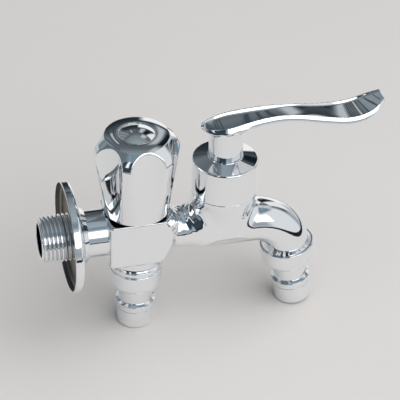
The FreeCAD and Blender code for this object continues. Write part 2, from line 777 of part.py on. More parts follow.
def bonnet_cup():
    """Chromed cup turned down over the cartridge: a straight wall and a roof that rises to the nut's seat."""
    hole = collar_nut_body_radius + cup_hole_clearance
    return turned([
        (boss_radius, boss_top_z),
        (boss_radius, cup_rim_z - cup_rim_edge),
        (boss_radius - cup_rim_edge, cup_rim_z),
        (cup_seat_radius, cup_roof_z),
        (hole, cup_roof_z),
        (hole, cup_roof_z - cup_roof_thickness),
        (cup_seat_radius, cup_roof_z - cup_roof_thickness),
        (cup_inner_radius, cup_rim_z - cup_roof_thickness),
        (cup_inner_radius, boss_top_z),
    ], lever_valve_x)


def collar_nut():
    """Smooth round nut on the cartridge's neck, whose flange clamps the cup's roof down."""
    body = tube(collar_nut_body_radius, cartridge_neck_radius, cartridge_hex_top_z, cup_roof_z, lever_valve_x)
    flange = tube(collar_nut_radius, cartridge_neck_radius, cup_roof_z, collar_nut_top_z, lever_valve_x)
    return body.fuse(flange)


def lever_stations():
    """Stations along the lever: distance from the axis, half width, rim height and thickness."""
    span = lever_reach
    head = lever_head_half_width
    waist = lever_waist_half_width
    blade = lever_blade_half_width
    middle_thickness = 0.5 * (lever_waist_thickness + lever_blade_thickness)
    return [
        (-lever_heel, 0.30 * head, lever_root_z - 1.9, 0.3 * lever_head_thickness),
        (-0.86 * lever_heel, 0.62 * head, lever_root_z - 1.7, 0.5 * lever_head_thickness),
        (-0.46 * lever_heel, 0.93 * head, lever_root_z - 1.1, 0.85 * lever_head_thickness),
        (0.03 * span, head, lever_root_z + 0.5, lever_head_thickness),
        (0.17 * span, 0.5 * (head + waist), lever_crest_z - 0.2, lever_waist_thickness),
        (0.31 * span, waist, lever_crest_z, lever_waist_thickness),
        (0.47 * span, waist + 0.3, lever_crest_z - 1.1, middle_thickness),
        (0.63 * span, 0.5 * (waist + blade) + 0.3, lever_dip_z + 0.6, lever_blade_thickness),
        (0.76 * span, blade - 0.2, lever_dip_z, lever_blade_thickness),
        (0.87 * span, blade, lever_dip_z + 1.1, lever_blade_thickness - 0.8),
        (0.95 * span, 0.82 * blade, lever_tip_z - 2.7, lever_blade_thickness - 1.8),
        (span, 0.36 * blade, lever_tip_z, lever_tip_thickness),
    ]


def lever_section(x, half_width, rim_z, thickness):
    """Closed section across the lever: dished top, two short sides and a rounded belly."""
    side = lever_side_share * thickness
    dish = lever_dish_share * thickness
    left_top = Vector(x, -half_width, rim_z)
    right_top = Vector(x, half_width, rim_z)
    left_low = Vector(x, -half_width, rim_z - side)
    right_low = Vector(x, half_width, rim_z - side)
    top = Part.Arc(left_top, Vector(x, 0, rim_z - dish), right_top).toShape()
    right = Part.LineSegment(right_top, right_low).toShape()
    belly_z = rim_z - lever_belly_share * thickness
    belly = Part.Arc(right_low, Vector(x, 0, belly_z), left_low).toShape()
    left = Part.LineSegment(left_low, left_top).toShape()
    return Part.Wire([top, right, belly, left])


def lever_handle():
    """Long S-curved lever with a dished blade, on a round hub with a square socket."""
    sections = [lever_section(*station) for station in lever_stations()]
    blade = Part.makeLoft(sections, True, False)
    hub = rod(lever_hub_radius, lever_hub_bottom_z, lever_hub_top_z)
    handle = hub.fuse(blade)
    socket = square_end(lever_square, lever_hub_bottom_z - overrun, lever_hub_bottom_z + lever_socket_depth)
    handle = handle.cut(socket).cut(grub_hole(lever_hub_radius + overrun))
    handle.translate(Vector(lever_valve_x, 0, 0))
    return handle


def grub_hole(outer):
    """Threaded hole for the grub screw, from the hub's back to the square."""
    inner = lever_square / 2
    return Part.makeCylinder(grub_screw_radius, outer - inner, Vector(-outer, 0, grub_screw_z), ALONG)


def lever_grub_screw():
    """Headless screw that pinches the lever on its square, with a small hexagon socket."""
    inner = lever_square / 2
    outer = inner + grub_screw_length
    screw = Part.makeCylinder(grub_screw_radius, grub_screw_length, Vector(-outer, 0, grub_screw_z), ALONG)
    key = Part.makeCylinder(grub_key_radius, grub_key_depth, Vector(-outer, 0, grub_screw_z), ALONG)
    screw = screw.cut(key)
    screw.translate(Vector(lever_valve_x, 0, 0))
    return screw


def place_nozzle(solid, at_spout):
    """Moves a nozzle piece, made about the upright axis below the origin, to its outlet."""
    if at_spout:
        solid.rotate(Vector(0, 0, 0), ACROSS, -spout_tilt)
        solid.translate(Vector(spout_outlet_x, 0, spout_outlet_z))
    else:
        solid.translate(Vector(knob_valve_x, 0, drop_outlet_z))
    return solid


def union_nut():
    """Smooth union nut with a rounded lower end that grips the nipple's flange."""
    run = union_radius - union_lip_radius
    fall = union_length - union_straight
    chord = math.hypot(run, fall)
    middle = (0.5 * (union_radius + union_lip_radius), -0.5 * (union_straight + union_length))
    bend = (middle[0] + union_bulge * fall / chord, middle[1] - union_bulge * run / chord)
    hole = nipple_neck_top_radius + neck_clearance
    return turned([
        (thread_radius, 0),
        (union_radius - union_chamfer, 0),
        (union_radius, -union_chamfer),
        (union_radius, -union_straight),
        (*bend, union_lip_radius, -union_length),
        (hole, -union_length),
        (hole, -union_shoulder),
        (thread_radius, -union_shoulder),
    ])


def union_gasket():
    return tube(nipple_flange_radius, gasket_bore_radius, -strainer_depth, -spigot_length)


def strainer_disc():
    """Thin disc with rings of holes that stops grit."""
    disc = rod(nipple_flange_radius, -nipple_flange_depth, -strainer_depth)
    hole = rod(strainer_hole_radius, -nipple_flange_depth - overrun, overrun - strainer_depth)
    holes = [hole]
    for ring in range(1, strainer_rings + 1):
        count = 6 * ring
        for k in range(count):
            angle = 2 * math.pi * k / count
            place = Vector(math.cos(angle), math.sin(angle), 0) * (ring * strainer_hole_pitch)
            holes.append(hole.translated(place))
    return disc.cut(Part.makeCompound(holes))


def hose_nipple():
    """Nipple with its flange, tapering neck, rim and the spigot that carries the sleeve."""
    rim_top = nipple_rim_depth - nipple_rim_round
    rim_low = nipple_rim_depth + nipple_rim_round
    return turned([
        (nipple_bore_radius, -nipple_flange_depth),
        (nipple_flange_radius, -nipple_flange_depth),
        (nipple_flange_radius, -union_shoulder),
        (nipple_neck_top_radius, -union_shoulder),
        (nipple_neck_top_radius, -union_length),
        (nipple_neck_radius, -nipple_neck_end),
        (nipple_rim_radius - nipple_rim_round, -rim_top),
        (nipple_rim_radius, -nipple_rim_depth, nipple_rim_radius - nipple_rim_round, -rim_low),
        (nipple_body_radius, -rim_low),
        (nipple_body_radius, -nipple_seam_depth),
        (nipple_spigot_radius, -nipple_seam_depth),
        (nipple_spigot_radius, -nozzle_length + sleeve_round),
        (nipple_bore_radius, -nozzle_length + sleeve_round),
    ])


def nipple_sleeve():
    """Smooth sleeve over the lower end of the nipple, with a rounded bottom edge."""
    centre = (nipple_body_radius - sleeve_round, -nozzle_length + sleeve_round)
    arc = arc_middle(centre, sleeve_round, 0, -90)
    return turned([
        (nipple_spigot_radius, -nipple_seam_depth),
        (nipple_body_radius, -nipple_seam_depth),
        (nipple_body_radius, centre[1]),
        (*arc, centre[0], -nozzle_length),
        (nipple_spigot_radius, -nozzle_length),
    ])


NOZZLE_PIECES = {
    "union_nut": union_nut,
    "gasket": union_gasket,
    "strainer": strainer_disc,
    "hose_nipple": hose_nipple,
    "nipple_sleeve": nipple_sleeve,
}

TAP_PIECES = {
    "main_body": main_body,
    "wall_flange": wall_flange,
    "headwork_bonnet": headwork_bonnet,
    "bonnet_seal_washer": bonnet_seal_washer,
    "knob_spindle": knob_spindle,
    "knob_spindle_seals": knob_spindle_seals,
    "knob_circlip": knob_circlip,
    "valve_carrier": valve_carrier,
    "tap_washer": tap_washer,
    "tap_washer_screw": tap_washer_screw,
    "knob": knob,
    "knob_screw": knob_screw,
    "knob_index_cap": knob_index_cap,
    "cartridge_body": cartridge_body,
    "cartridge_seal": cartridge_seal,
    "fixed_disc": fixed_disc,
    "turning_disc": turning_disc,
    "cartridge_spindle": cartridge_spindle,
    "cartridge_spindle_seals": cartridge_spindle_seals,
    "cartridge_circlip": cartridge_circlip,
    "glide_washer": glide_washer,
    "bonnet_cup": bonnet_cup,
    "collar_nut": collar_nut,
    "lever_handle": lever_handle,
    "lever_grub_screw": lever_grub_screw,
}


def save(name, shape):
    shape.exportStep("parts/" + name + ".step")
    box = shape.BoundBox
    print(name, "solids", len(shape.Solids), "valid", shape.isValid(), "volume", round(shape.Volume, 1),
          "x", round(box.XMin, 2), round(box.XMax, 2), "y", round(box.YMin, 2), round(box.YMax, 2),
          "z", round(box.ZMin, 2), round(box.ZMax, 2))


os.makedirs("parts", exist_ok=True)
for piece, build in TAP_PIECES.items():
    save(piece, build())
for piece, build in NOZZLE_PIECES.items():
    save("drop_" + piece, place_nozzle(build(), False))
    save("spout_" + piece, place_nozzle(build(), True))
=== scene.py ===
import json
import math

import bpy
import numpy as np
from mathutils import Matrix, Vector


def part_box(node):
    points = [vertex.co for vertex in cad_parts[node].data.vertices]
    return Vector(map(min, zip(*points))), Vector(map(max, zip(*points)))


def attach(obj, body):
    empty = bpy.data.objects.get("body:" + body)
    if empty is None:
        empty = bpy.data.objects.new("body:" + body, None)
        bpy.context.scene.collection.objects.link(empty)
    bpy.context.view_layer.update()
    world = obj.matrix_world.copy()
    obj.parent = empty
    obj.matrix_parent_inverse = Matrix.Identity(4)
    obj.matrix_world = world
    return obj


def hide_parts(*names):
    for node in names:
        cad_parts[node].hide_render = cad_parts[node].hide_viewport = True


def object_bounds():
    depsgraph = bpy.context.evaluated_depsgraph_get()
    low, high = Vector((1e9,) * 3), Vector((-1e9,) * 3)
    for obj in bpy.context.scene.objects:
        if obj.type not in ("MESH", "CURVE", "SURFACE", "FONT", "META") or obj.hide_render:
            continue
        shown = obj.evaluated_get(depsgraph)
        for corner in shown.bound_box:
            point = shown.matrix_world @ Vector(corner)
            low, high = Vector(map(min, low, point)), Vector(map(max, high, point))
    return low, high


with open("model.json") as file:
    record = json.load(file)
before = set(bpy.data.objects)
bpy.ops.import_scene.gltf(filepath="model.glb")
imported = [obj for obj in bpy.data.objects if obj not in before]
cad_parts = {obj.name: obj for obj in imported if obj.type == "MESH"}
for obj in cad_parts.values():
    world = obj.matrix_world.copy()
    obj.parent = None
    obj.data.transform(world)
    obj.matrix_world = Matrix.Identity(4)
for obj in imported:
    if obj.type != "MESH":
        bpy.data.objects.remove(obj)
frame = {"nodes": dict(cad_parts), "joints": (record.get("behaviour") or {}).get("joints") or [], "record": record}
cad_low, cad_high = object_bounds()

# A chromed double outlet tap, lit in a small photographic studio. The shapes are worked out in
# millimetres in the frame's own axes: +X from the wall along the spout, +Z up. Places and outer sizes
# come from the frame's nodes, joints and mounts, so that every surface sits on the solid that it
# stands for.
MM = 0.001


def node_box(node):
    """Lowest and highest corner of a node, in millimetres."""
    low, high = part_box(node)
    return np.array(low) / MM, np.array(high) / MM


joint_at = {j["name"]: np.array(j.get("pos_m", (0, 0, 0))) / MM for j in frame["joints"]}
mount = {m["name"]: m for m in frame["record"]["mounts"]}
knob_x = joint_at["knob_turn"][0]
lever_x = joint_at["lever_turn"][0]
stand_z = cad_low[2] / MM
inlet_tip = cad_low[0] / MM
thread_crest = mount["inlet_thread"]["dims"]["r_mm"]
cup_low, cup_high = node_box("bonnet_cup")
boss_top = cup_low[2]
boss_radius = (cup_high[1] - cup_low[1]) / 2
drop_face_z = node_box("drop_union_nut")[1][2]
# Middle of the spout's outlet face, the way its nozzle points, and how far that leans outwards
spout_face = np.array([0.1010, 0, -0.018482]) / MM
spout_away = np.array(mount["spout_hose_end"]["axis"])
spout_tilt = math.atan2(spout_away[0], -spout_away[2])

# How finely surfaces are cut: corners round a turned piece and round the knob, the longest run and
# the least number of points on a rounded corner, the longest run of the knob's outline, the cells of
# the casting and of the lever, and the rounding of a fine edge
AROUND = 168
KNOB_AROUND = 360
ROUND_STEP = 0.3
ROUND_POINTS = 7
KNOB_STEP = 0.52
CASTING_CELL = 0.45
LEVER_CELL = 0.33
FINE_EDGE = 0.18

# A field is worked out in parts, to spare memory. Newton steps bring its corners onto the surface, and
# none divides by less than this squared slope. The slope is taken over this distance.
FIELD_PARTS = 12
NEWTON_STEPS = 6
LEAST_SLOPE = 0.05
SLOPE_REACH = 1e-3

# Making surfaces


def add_piece(name, points, normals, quads, triangles, body, nodes, material, dull=None):
    """One shaded mesh in metres: corners, one normal for each corner, and faces as index rows. The
    faces are turned about where the volume swept from the middle comes out negative. dull marks the
    faces that the plating didn't reach, which get a darker grey that is partly painted shade."""
    corners = points[quads]
    across = np.cross(corners[:, 2] - corners[:, 0], corners[:, 3] - corners[:, 1])
    swept = np.einsum("ij,ij->i", across, corners.mean(axis=1) - points.mean(axis=0))
    if swept.sum() < 0:
        quads = quads[:, ::-1]
        triangles = triangles[:, ::-1]
    mesh = bpy.data.meshes.new(name)
    mesh.vertices.add(len(points))
    mesh.vertices.foreach_set("co", (points * MM).astype(np.float32).ravel())
    loops = np.concatenate([quads.ravel(), triangles.ravel()]).astype(np.int32)
    counts = np.concatenate([np.full(len(quads), 4), np.full(len(triangles), 3)])
    starts = np.concatenate([[0], np.cumsum(counts)[:-1]]).astype(np.int32)
    mesh.loops.add(len(loops))
    mesh.loops.foreach_set("vertex_index", loops)
    mesh.polygons.add(len(counts))
    mesh.polygons.foreach_set("loop_start", starts)
    mesh.update(calc_edges=True)
    mesh.validate()
    mesh.shade_smooth()
    length = np.linalg.norm(normals, axis=1, keepdims=True)
    mesh.normals_split_custom_set_from_vertices((normals / np.maximum(length, 1e-9)).tolist())
    piece = bpy.data.objects.new(name, mesh)
    bpy.context.scene.collection.objects.link(piece)
    mesh.materials.append(MATERIALS[material])
    # Faces marked dull take the darker inside material, whose grey is partly painted shade
    if dull is not None:
        mesh.materials.append(MATERIALS["bare_inside"])
        mesh.polygons.foreach_set("material_index", dull.astype(np.int32))
    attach(piece, body)
    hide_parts(*nodes)
    return piece


def sheet_faces(index, round_rows, round_columns):
    """Quads of a grid of corner numbers, closed round its rows or columns where asked. A row whose
    corners are all one pole gives triangles instead."""
    below = index if round_rows else index[:-1]
    above = np.roll(index, -1, axis=0) if round_rows else index[1:]
    if round_columns:
        below_next = np.roll(below, -1, axis=1)
        above_next = np.roll(above, -1, axis=1)
    else:
        below, below_next = below[:, :-1], below[:, 1:]
        above, above_next = above[:, :-1], above[:, 1:]
    quads = np.stack([below, below_next, above_next, above], axis=-1).reshape(-1, 4)
    pole_below = quads[:, 0] == quads[:, 1]
    pole_above = quads[:, 2] == quads[:, 3]
    triangles = np.concatenate([quads[pole_below][:, [0, 2, 3]], quads[pole_above][:, [0, 1, 2]]])
    return quads[~(pole_below | pole_above)], triangles


def rounded(corners, closed=True):
    """An outline of radius and height with every corner rounded. Each corner is (radius, height,
    fillet). The fillet of size f between two runs that turn by the angle t starts f * tan(t / 2)
    before the corner, and along it the direction turns evenly. The material is on the left, so the
    outward normal is the direction turned a quarter to the right. Gives points and normals."""
    corners = np.array(corners, float)
    places, fillets = corners[:, :2], corners[:, 2]
    before = np.roll(places, 1, axis=0)
    after = np.roll(places, -1, axis=0)
    points, normals = [], []
    for k, (place, fillet) in enumerate(zip(places, fillets)):
        if not closed and k in (0, len(places) - 1):
            run = after[0] - place if k == 0 else place - before[k]
            run = run / np.linalg.norm(run)
            points.append(place[None])
            normals.append(np.array([[run[1], -run[0]]]))
            continue
        come = (place - before[k]) / np.linalg.norm(place - before[k])
        go = (after[k] - place) / np.linalg.norm(after[k] - place)
        turn = math.atan2(come[0] * go[1] - come[1] * go[0], come @ go)
        side = math.copysign(1, turn)
        steps = max(ROUND_POINTS, int(fillet * abs(turn) / ROUND_STEP))
        heading = math.atan2(come[1], come[0]) + turn * np.linspace(0, 1, steps)
        inward = np.array([-come[1], come[0]]) * side
        centre = place - come * fillet * abs(math.tan(turn / 2)) + inward * fillet
        outward = np.stack([np.sin(heading), -np.cos(heading)], axis=1)
        points.append(centre + outward * fillet * side)
        normals.append(outward)
    return np.concatenate(points), np.concatenate(normals)


def divided(outline, step):
    """The same outline with more points on its straight runs, none further apart than the step."""
    points, normals = outline
    gaps = np.linalg.norm(np.diff(points, axis=0), axis=1)
    place = np.concatenate([[0], np.cumsum(gaps)])
    extra = [np.linspace(a, b, int((b - a) / step) + 1, endpoint=False)
             for a, b in zip(place[:-1], place[1:])]
    at = np.concatenate(extra + [place[-1:]])

    def pick(values):
        """Both columns between the outline's points, by straight lines."""
        return np.stack([np.interp(at, place, values[:, k]) for k in range(2)], axis=1)

    return pick(points), pick(normals)


def turned(name, outline, at, body, nodes, material, lean=0.0, along_x=False, closed=True,
           reshape=None, around=AROUND, dull=None):
    """Surface of revolution: each outline point (r, z) goes to (r cos a, r sin a, z) for angles a all
    the way round, then leans about Y and moves to its place. reshape may change the radii for each
    angle, and from the outline's point number dull on the surface has no plating and takes a darker
    grey that is partly painted shade."""
    outline_points, outline_normals = outline
    angles = np.linspace(0, 2 * math.pi, around, endpoint=False)
    cos, sin = np.cos(angles), np.sin(angles)

    def spun(rows):
        """Rows of radius and height, at every angle."""
        height = np.repeat(rows[:, 1:], around, axis=1)
        return np.stack([rows[:, :1] * cos, rows[:, :1] * sin, height], axis=-1)

    points, normals = spun(outline_points), spun(outline_normals)
    if reshape:
        points, normals = reshape(points, normals, np.broadcast_to(angles, points.shape[:2]))
    index = np.arange(points.shape[0] * around).reshape(points.shape[:2])
    if not closed:
        index[0] = index[0, 0]
        index[-1] = index[-1, 0]
    quads, triangles = sheet_faces(index, closed, True)
    points, normals = points.reshape(-1, 3), normals.reshape(-1, 3)
    used, packed = np.unique(np.concatenate([quads.ravel(), triangles.ravel()]), return_inverse=True)
    quads, triangles = packed[:quads.size].reshape(-1, 4), packed[quads.size:].reshape(-1, 3)
    points, normals = points[used], normals[used]
    if along_x:
        points, normals = points[:, [2, 0, 1]], normals[:, [2, 0, 1]]
    leaned = np.array([[math.cos(lean), 0, -math.sin(lean)], [0, 1, 0],
                       [math.sin(lean), 0, math.cos(lean)]])
    if dull is not None:
        dull = np.arange(len(quads)) >= dull * around
    return add_piece(name, points @ leaned.T + at, normals @ leaned.T, quads, triangles, body, nodes,
                     material, dull)


def slope_of(field, points):
    """Gradient of a field by central differences along each axis."""
    parts = []
    for axis in range(3):
        shift = np.zeros(3)
        shift[axis] = SLOPE_REACH
        parts.append((field(points + shift) - field(points - shift)) / (2 * SLOPE_REACH))
    return np.stack(parts, axis=-1)


def skin(name, field, low, high, step, body, nodes, material):
    """Closed surface where a field of space is zero, negative inside. The box is cut into cells of the
    given step. Each cell that the surface crosses gets one corner, at the mean of the crossings on its
    edges, and each grid edge that it crosses gives the quad of the four cells round it. Newton steps
    along the field's gradient then bring every corner onto the surface, and the gradient is its
    normal."""
    axes = [np.arange(low[k], high[k] + step, step) for k in range(3)]
    cell_counts = [len(a) - 1 for a in axes]
    space = np.stack(np.meshgrid(*axes, indexing="ij"), axis=-1)
    value = np.concatenate([field(part) for part in np.array_split(space, FIELD_PARTS)])
    inside = value < 0
    total = np.zeros(cell_counts + [3])
    count = np.zeros(cell_counts)
    crossed = []
    for axis in range(3):
        first = [slice(None)] * 3
        second = [slice(None)] * 3
        first[axis], second[axis] = slice(0, -1), slice(1, None)
        first, second = tuple(first), tuple(second)
        cut = inside[first] != inside[second]
        place = np.argwhere(cut)
        a, b = value[first][cut], value[second][cut]
        crossing = space[first][cut]
        crossing[:, axis] += step * a / (a - b)
        u, v = [k for k in range(3) if k != axis]
        cells = []
        for du, dv in ((0, 0), (-1, 0), (-1, -1), (0, -1)):
            cell = place.copy()
            cell[:, u] += du
            cell[:, v] += dv
            cells.append(cell)
            np.add.at(total, tuple(cell.T), crossing)
            np.add.at(count, tuple(cell.T), 1)
        forward = inside[first][cut] == (axis != 1)
        crossed.append((cells, forward))
    number = np.full(count.shape, -1)
    number[count > 0] = np.arange((count > 0).sum())
    points = total[count > 0] / count[count > 0][:, None]
    quads = []
    for cells, forward in crossed:
        rows = np.stack([number[tuple(cell.T)] for cell in cells], axis=-1)
        quads.append(np.where(forward[:, None], rows, rows[:, ::-1]))
    for _ in range(NEWTON_STEPS):
        gradient = slope_of(field, points)
        size = np.maximum((gradient ** 2).sum(axis=1), LEAST_SLOPE)
        move = gradient * (field(points) / size)[:, None]
        points = points - np.clip(move, -0.5 * step, 0.5 * step)
    return add_piece(name, points, slope_of(field, points), np.concatenate(quads),
                     np.zeros((0, 3), int), body, nodes, material)


def join(a, b, size):
    """Union of two fields with a fillet: min(a, b) less size / 4 times their nearness squared. The
    nearness goes from 0, where they differ by the size or more, to 1 where they are equal."""
    near = np.maximum(size - np.abs(a - b), 0) / size
    return np.minimum(a, b) - near ** 2 * size / 4


def meet(a, b, size):
    """What two fields have in common, its edge rounded: max(a, b) plus size / 4 times their nearness
    squared."""
    near = np.maximum(size - np.abs(a - b), 0) / size
    return np.maximum(a, b) + near ** 2 * size / 4


def ease(x):
    """0 below 0, 1 above 1, and 3 x squared less 2 x cubed between."""
    x = np.clip(x, 0, 1)
    return x * x * (3 - 2 * x)


def curve_through(xs, ys, x):
    """Natural cubic spline through the points. Its second slopes solve the usual system of three terms
    a row: the gaps beside a point and twice their sum equal six times the change of slope there."""
    xs, ys = np.array(xs, float), np.array(ys, float)
    gap = np.diff(xs)
    rise = np.diff(ys) / gap
    system = np.diag(2 * np.concatenate([[0.5], gap[:-1] + gap[1:], [0.5]]))
    system += np.diag(np.concatenate([[0], gap[1:]]), 1)
    system += np.diag(np.concatenate([gap[:-1], [0]]), -1)
    bend = np.linalg.solve(system, np.concatenate([[0], 6 * np.diff(rise), [0]]))
    k = np.clip(np.searchsorted(xs, x) - 1, 0, len(gap) - 1)
    left, right, g = xs[k + 1] - x, x - xs[k], gap[k]
    cubes = (bend[k] * left ** 3 + bend[k + 1] * right ** 3) / (6 * g)
    return (cubes + (ys[k] / g - bend[k] * g / 6) * left
            + (ys[k + 1] / g - bend[k + 1] * g / 6) * right)


# Materials


def linear(code):
    """Linear RGBA from an sRGB hex colour: ((c + 0.055) / 1.055) ** 2.4, or c / 12.92 in the darkest
    part."""
    channels = [int(code[k:k + 2], 16) / 255 for k in (0, 2, 4)]
    return [c / 12.92 if c <= 0.04045 else ((c + 0.055) / 1.055) ** 2.4 for c in channels] + [1.0]


def node(tree, kind, settings=None, links=None):
    """Adds a node. settings holds plain properties and socket values, links maps its sockets to
    outputs."""
    made = tree.nodes.new(kind)
    for key, value in (settings or {}).items():
        if isinstance(key, str) and hasattr(made, key):
            setattr(made, key, value)
        else:
            made.inputs[key].default_value = value
    for key, source in (links or {}).items():
        tree.links.new(source, made.inputs[key])
    return made


def new_material(name, shader_settings, shader_links=None):
    """Node material whose Principled shader gets these settings and the links that a function
    makes."""
    material = bpy.data.materials.new(name)
    material.use_nodes = True
    tree = material.node_tree
    tree.nodes.clear()
    links = shader_links(tree) if shader_links else {}
    shader = node(tree, "ShaderNodeBsdfPrincipled", shader_settings, links)
    node(tree, "ShaderNodeOutputMaterial", {}, {"Surface": shader.outputs["BSDF"]})
    return material


def grained(grain_mm, depth_mm, rough_low, rough_high, plated):
    """Function that makes a surface's links: a bump of this grain and depth, and patches of sheen
    between two roughnesses. On a plate the bump is the slow waves that polishing leaves, and the
    patches are wider, where the plate is rubbed. Elsewhere both follow one fine grain."""
    def links(tree):
        place = node(tree, "ShaderNodeTexCoord").outputs["Object"]
        grain = node(tree, "ShaderNodeTexNoise",
                     {"Scale": 1 / (grain_mm * MM), "Detail": 1.0 if plated else 3.0},
                     {"Vector": place})
        bump = node(tree, "ShaderNodeBump", {"Strength": 1.0, "Distance": depth_mm * MM},
                    {"Height": grain.outputs[0]})
        sheen = grain
        if plated:
            sheen = node(tree, "ShaderNodeTexNoise", {"Scale": 1 / (RUBBED_MM * MM), "Detail": 4.0},
                         {"Vector": place})
        rough = node(tree, "ShaderNodeMapRange",
                     {"From Min": 0.3, "From Max": 0.7, "To Min": rough_low, "To Max": rough_high},
                     {"Value": sheen.outputs[0]})
        return {"Normal": bump.outputs[0], "Roughness": rough.outputs[0]}
    return links


RUBBED_MM = 9.0
CHROME = "EDEEF0"
METAL, NOT_METAL = 1.0, 0.0
PLATED, BARE = True, False
# Name, colour and kind of each slot's material, its grain and the grain's depth in millimetres, its
# least and greatest roughness, and whether it is a plate
FINISHES = {
    # Decorative chrome over nickel on a polished brass casting: a mirror, with faint waves left by
    # the polishing mop
    "chromed_brass": ("chrome_on_brass", CHROME, METAL, 5.0, 0.004, 0.03, 0.07, PLATED),
    # The same plate on pressed steel sheet, which the press leaves flatter
    "chromed_steel_sheet": ("chrome_on_sheet", CHROME, METAL, 7.0, 0.003, 0.03, 0.07, PLATED),
    # Chrome on electroless nickel over moulded plastic, as bright as on metal and smoother
    "chromed_plastic": ("chrome_on_plastic", CHROME, METAL, 6.0, 0.002, 0.02, 0.06, PLATED),
    # The small cap is moulded and plated in the same way, in a polished mould
    "chromed_cap": ("chrome_on_cap", CHROME, METAL, 4.0, 0.002, 0.02, 0.05, PLATED),
    # Pressure cast zinc under the same plate, a little wavier than the machined brass
    "chromed_zinc": ("chrome_on_zinc", CHROME, METAL, 6.0, 0.006, 0.03, 0.07, PLATED),
    # The flange's inside faces the wall: the press leaves it satin, and the plating only greys it.
    # Its colour is made darker still, as painted shade of that hollow.
    "bare_inside": ("satin_steel_inside", "8C8782", METAL, 3.0, 0.01, 0.34, 0.46, PLATED),
    # Turned brass of the working parts, dulled by water and grease
    "plain_brass": ("turned_brass", "9A8C6E", METAL, 0.6, 0.004, 0.28, 0.42, BARE),
    # Moulded nitrile rubber of the rings, the washer and the gaskets
    "rubber": ("nitrile_rubber", "1E1E1F", NOT_METAL, 0.5, 0.01, 0.5, 0.7, BARE),
    # Vulcanised fibre, pressed and punched
    "fibre": ("vulcanised_fibre", "7E3A2C", NOT_METAL, 0.3, 0.02, 0.6, 0.8, BARE),
    # Sintered alumina, lapped flat and polished
    "ceramic": ("lapped_alumina", "EFEDE6", NOT_METAL, 0.2, 0.001, 0.12, 0.2, BARE),
    # Injection moulded acetal
    "glide_plastic": ("acetal", "E6E6E1", NOT_METAL, 0.8, 0.003, 0.3, 0.4, BARE),
    # Blued spring wire, rolled flat
    "spring_steel": ("spring_wire", "6E7074", METAL, 0.3, 0.003, 0.3, 0.4, BARE),
    # Cold headed steel under a thin zinc plate
    "screw_steel": ("zinc_plated_steel", "B4B6B8", METAL, 0.4, 0.004, 0.24, 0.36, BARE),
    # Punched stainless sheet
    "strainer_steel": ("stainless_sheet", "B9BABB", METAL, 0.3, 0.003, 0.2, 0.32, BARE),
}
MATERIALS = {
    slot: new_material(name, {"Base Color": linear(colour), "Metallic": metallic}, grained(*rest))
    for slot, (name, colour, metallic, *rest) in FINISHES.items()}
for subpart in frame["record"]["subparts"]:
    for place in frame["nodes"][subpart["node"]].material_slots:
        place.material = MATERIALS[subpart["material_slot"]]

# The casting. Its inlet pipe and the bore in it
PIPE_RADIUS, PIPE_START = 10.4, 5.8
BORE_RADIUS, BORE_END = 7.5, knob_x - 3
# The block is milled flat on a round blank, which ends in a cone towards the neck
BLANK_RADIUS = 16.6
CONE_END, CONE_SMALL, CONE_SLOPE = knob_x + 15.4, 9.6, math.radians(48)
BLOCK_LEFT, BLOCK_HALF, BLOCK_TOP, BLOCK_BOTTOM = knob_x - 13.9, 11.5, 9.5, -12.7
# The outlet under the knob: a stem that ends inside the nut, and a collar just above the nut
STEM_RADIUS, STEM_INSIDE = 10.6, 3.0
COLLAR_RADIUS, COLLAR_UP, COLLAR_HALF = 11.5, 0.9, 0.8
# The neck grows into the spout's tube, which bends down and widens towards its end inside the nut
NECK_Z, NECK_RADIUS = -2.65, 8.95
TUBE_Z, TUBE_RADIUS = -3.45, 10.0
GROW_FROM, GROW_LENGTH = knob_x + 24, 10
BEND_RADIUS = 17.6
END_FLARE, FLARE_LENGTH, TUBE_INSIDE = 1.2, 6.5, 3.0
# The boss under the cup widens upwards from its least radius, by its gain at its rise
BOSS_LEAST, BOSS_GAIN, BOSS_RISE, BOSS_POWER, BOSS_SLOPE = 10.0, 4.0, 15.55, 0.95, 0.97
# The spot between knob and boss that was ground by hand: middle and size along X and along Z, depth
GROUND_X, GROUND_WIDE, GROUND_Z, GROUND_TALL, GROUND_DEPTH = 50.5, 5.5, 6, 6, 0.13
# A field's value where its part doesn't reach
FAR = 50.0


def spout_tube(x, y, z):
    """Field of the neck, the bend and the straight end of the spout. In the bend the distance is taken
    to a circle about (bend_x, bend_z), for headings between straight up and the end's direction."""
    grow = ease((x - GROW_FROM) / GROW_LENGTH)
    middle = NECK_Z + (TUBE_Z - NECK_Z) * grow
    neck = np.hypot(y, z - middle) - (NECK_RADIUS + (TUBE_RADIUS - NECK_RADIUS) * grow)
    corner_x = spout_face[0] - (TUBE_Z - spout_face[2]) * math.tan(spout_tilt)
    turn = math.pi / 2 - spout_tilt
    bend_x = corner_x - BEND_RADIUS * math.tan(turn / 2)
    bend_z = TUBE_Z - BEND_RADIUS
    neck = np.maximum(neck, np.maximum(knob_x - x, x - bend_x))
    heading = np.arctan2(x - bend_x, z - bend_z)
    from_bend = np.abs(np.hypot(x - bend_x, z - bend_z) - BEND_RADIUS)
    bend = np.hypot(from_bend, y) - TUBE_RADIUS
    bend = np.where((heading >= 0) & (heading <= turn), bend, FAR)
    side = (x - spout_face[0]) * math.cos(spout_tilt) + (z - spout_face[2]) * math.sin(spout_tilt)
    depth = (x - spout_face[0]) * spout_away[0] + (z - spout_face[2]) * spout_away[2]
    flare = END_FLARE * ease((depth + FLARE_LENGTH) / FLARE_LENGTH)
    straight = np.where(heading > turn, np.hypot(side, y) - TUBE_RADIUS - flare, FAR)
    return np.minimum(np.minimum(neck, bend), np.maximum(straight, depth - TUBE_INSIDE))


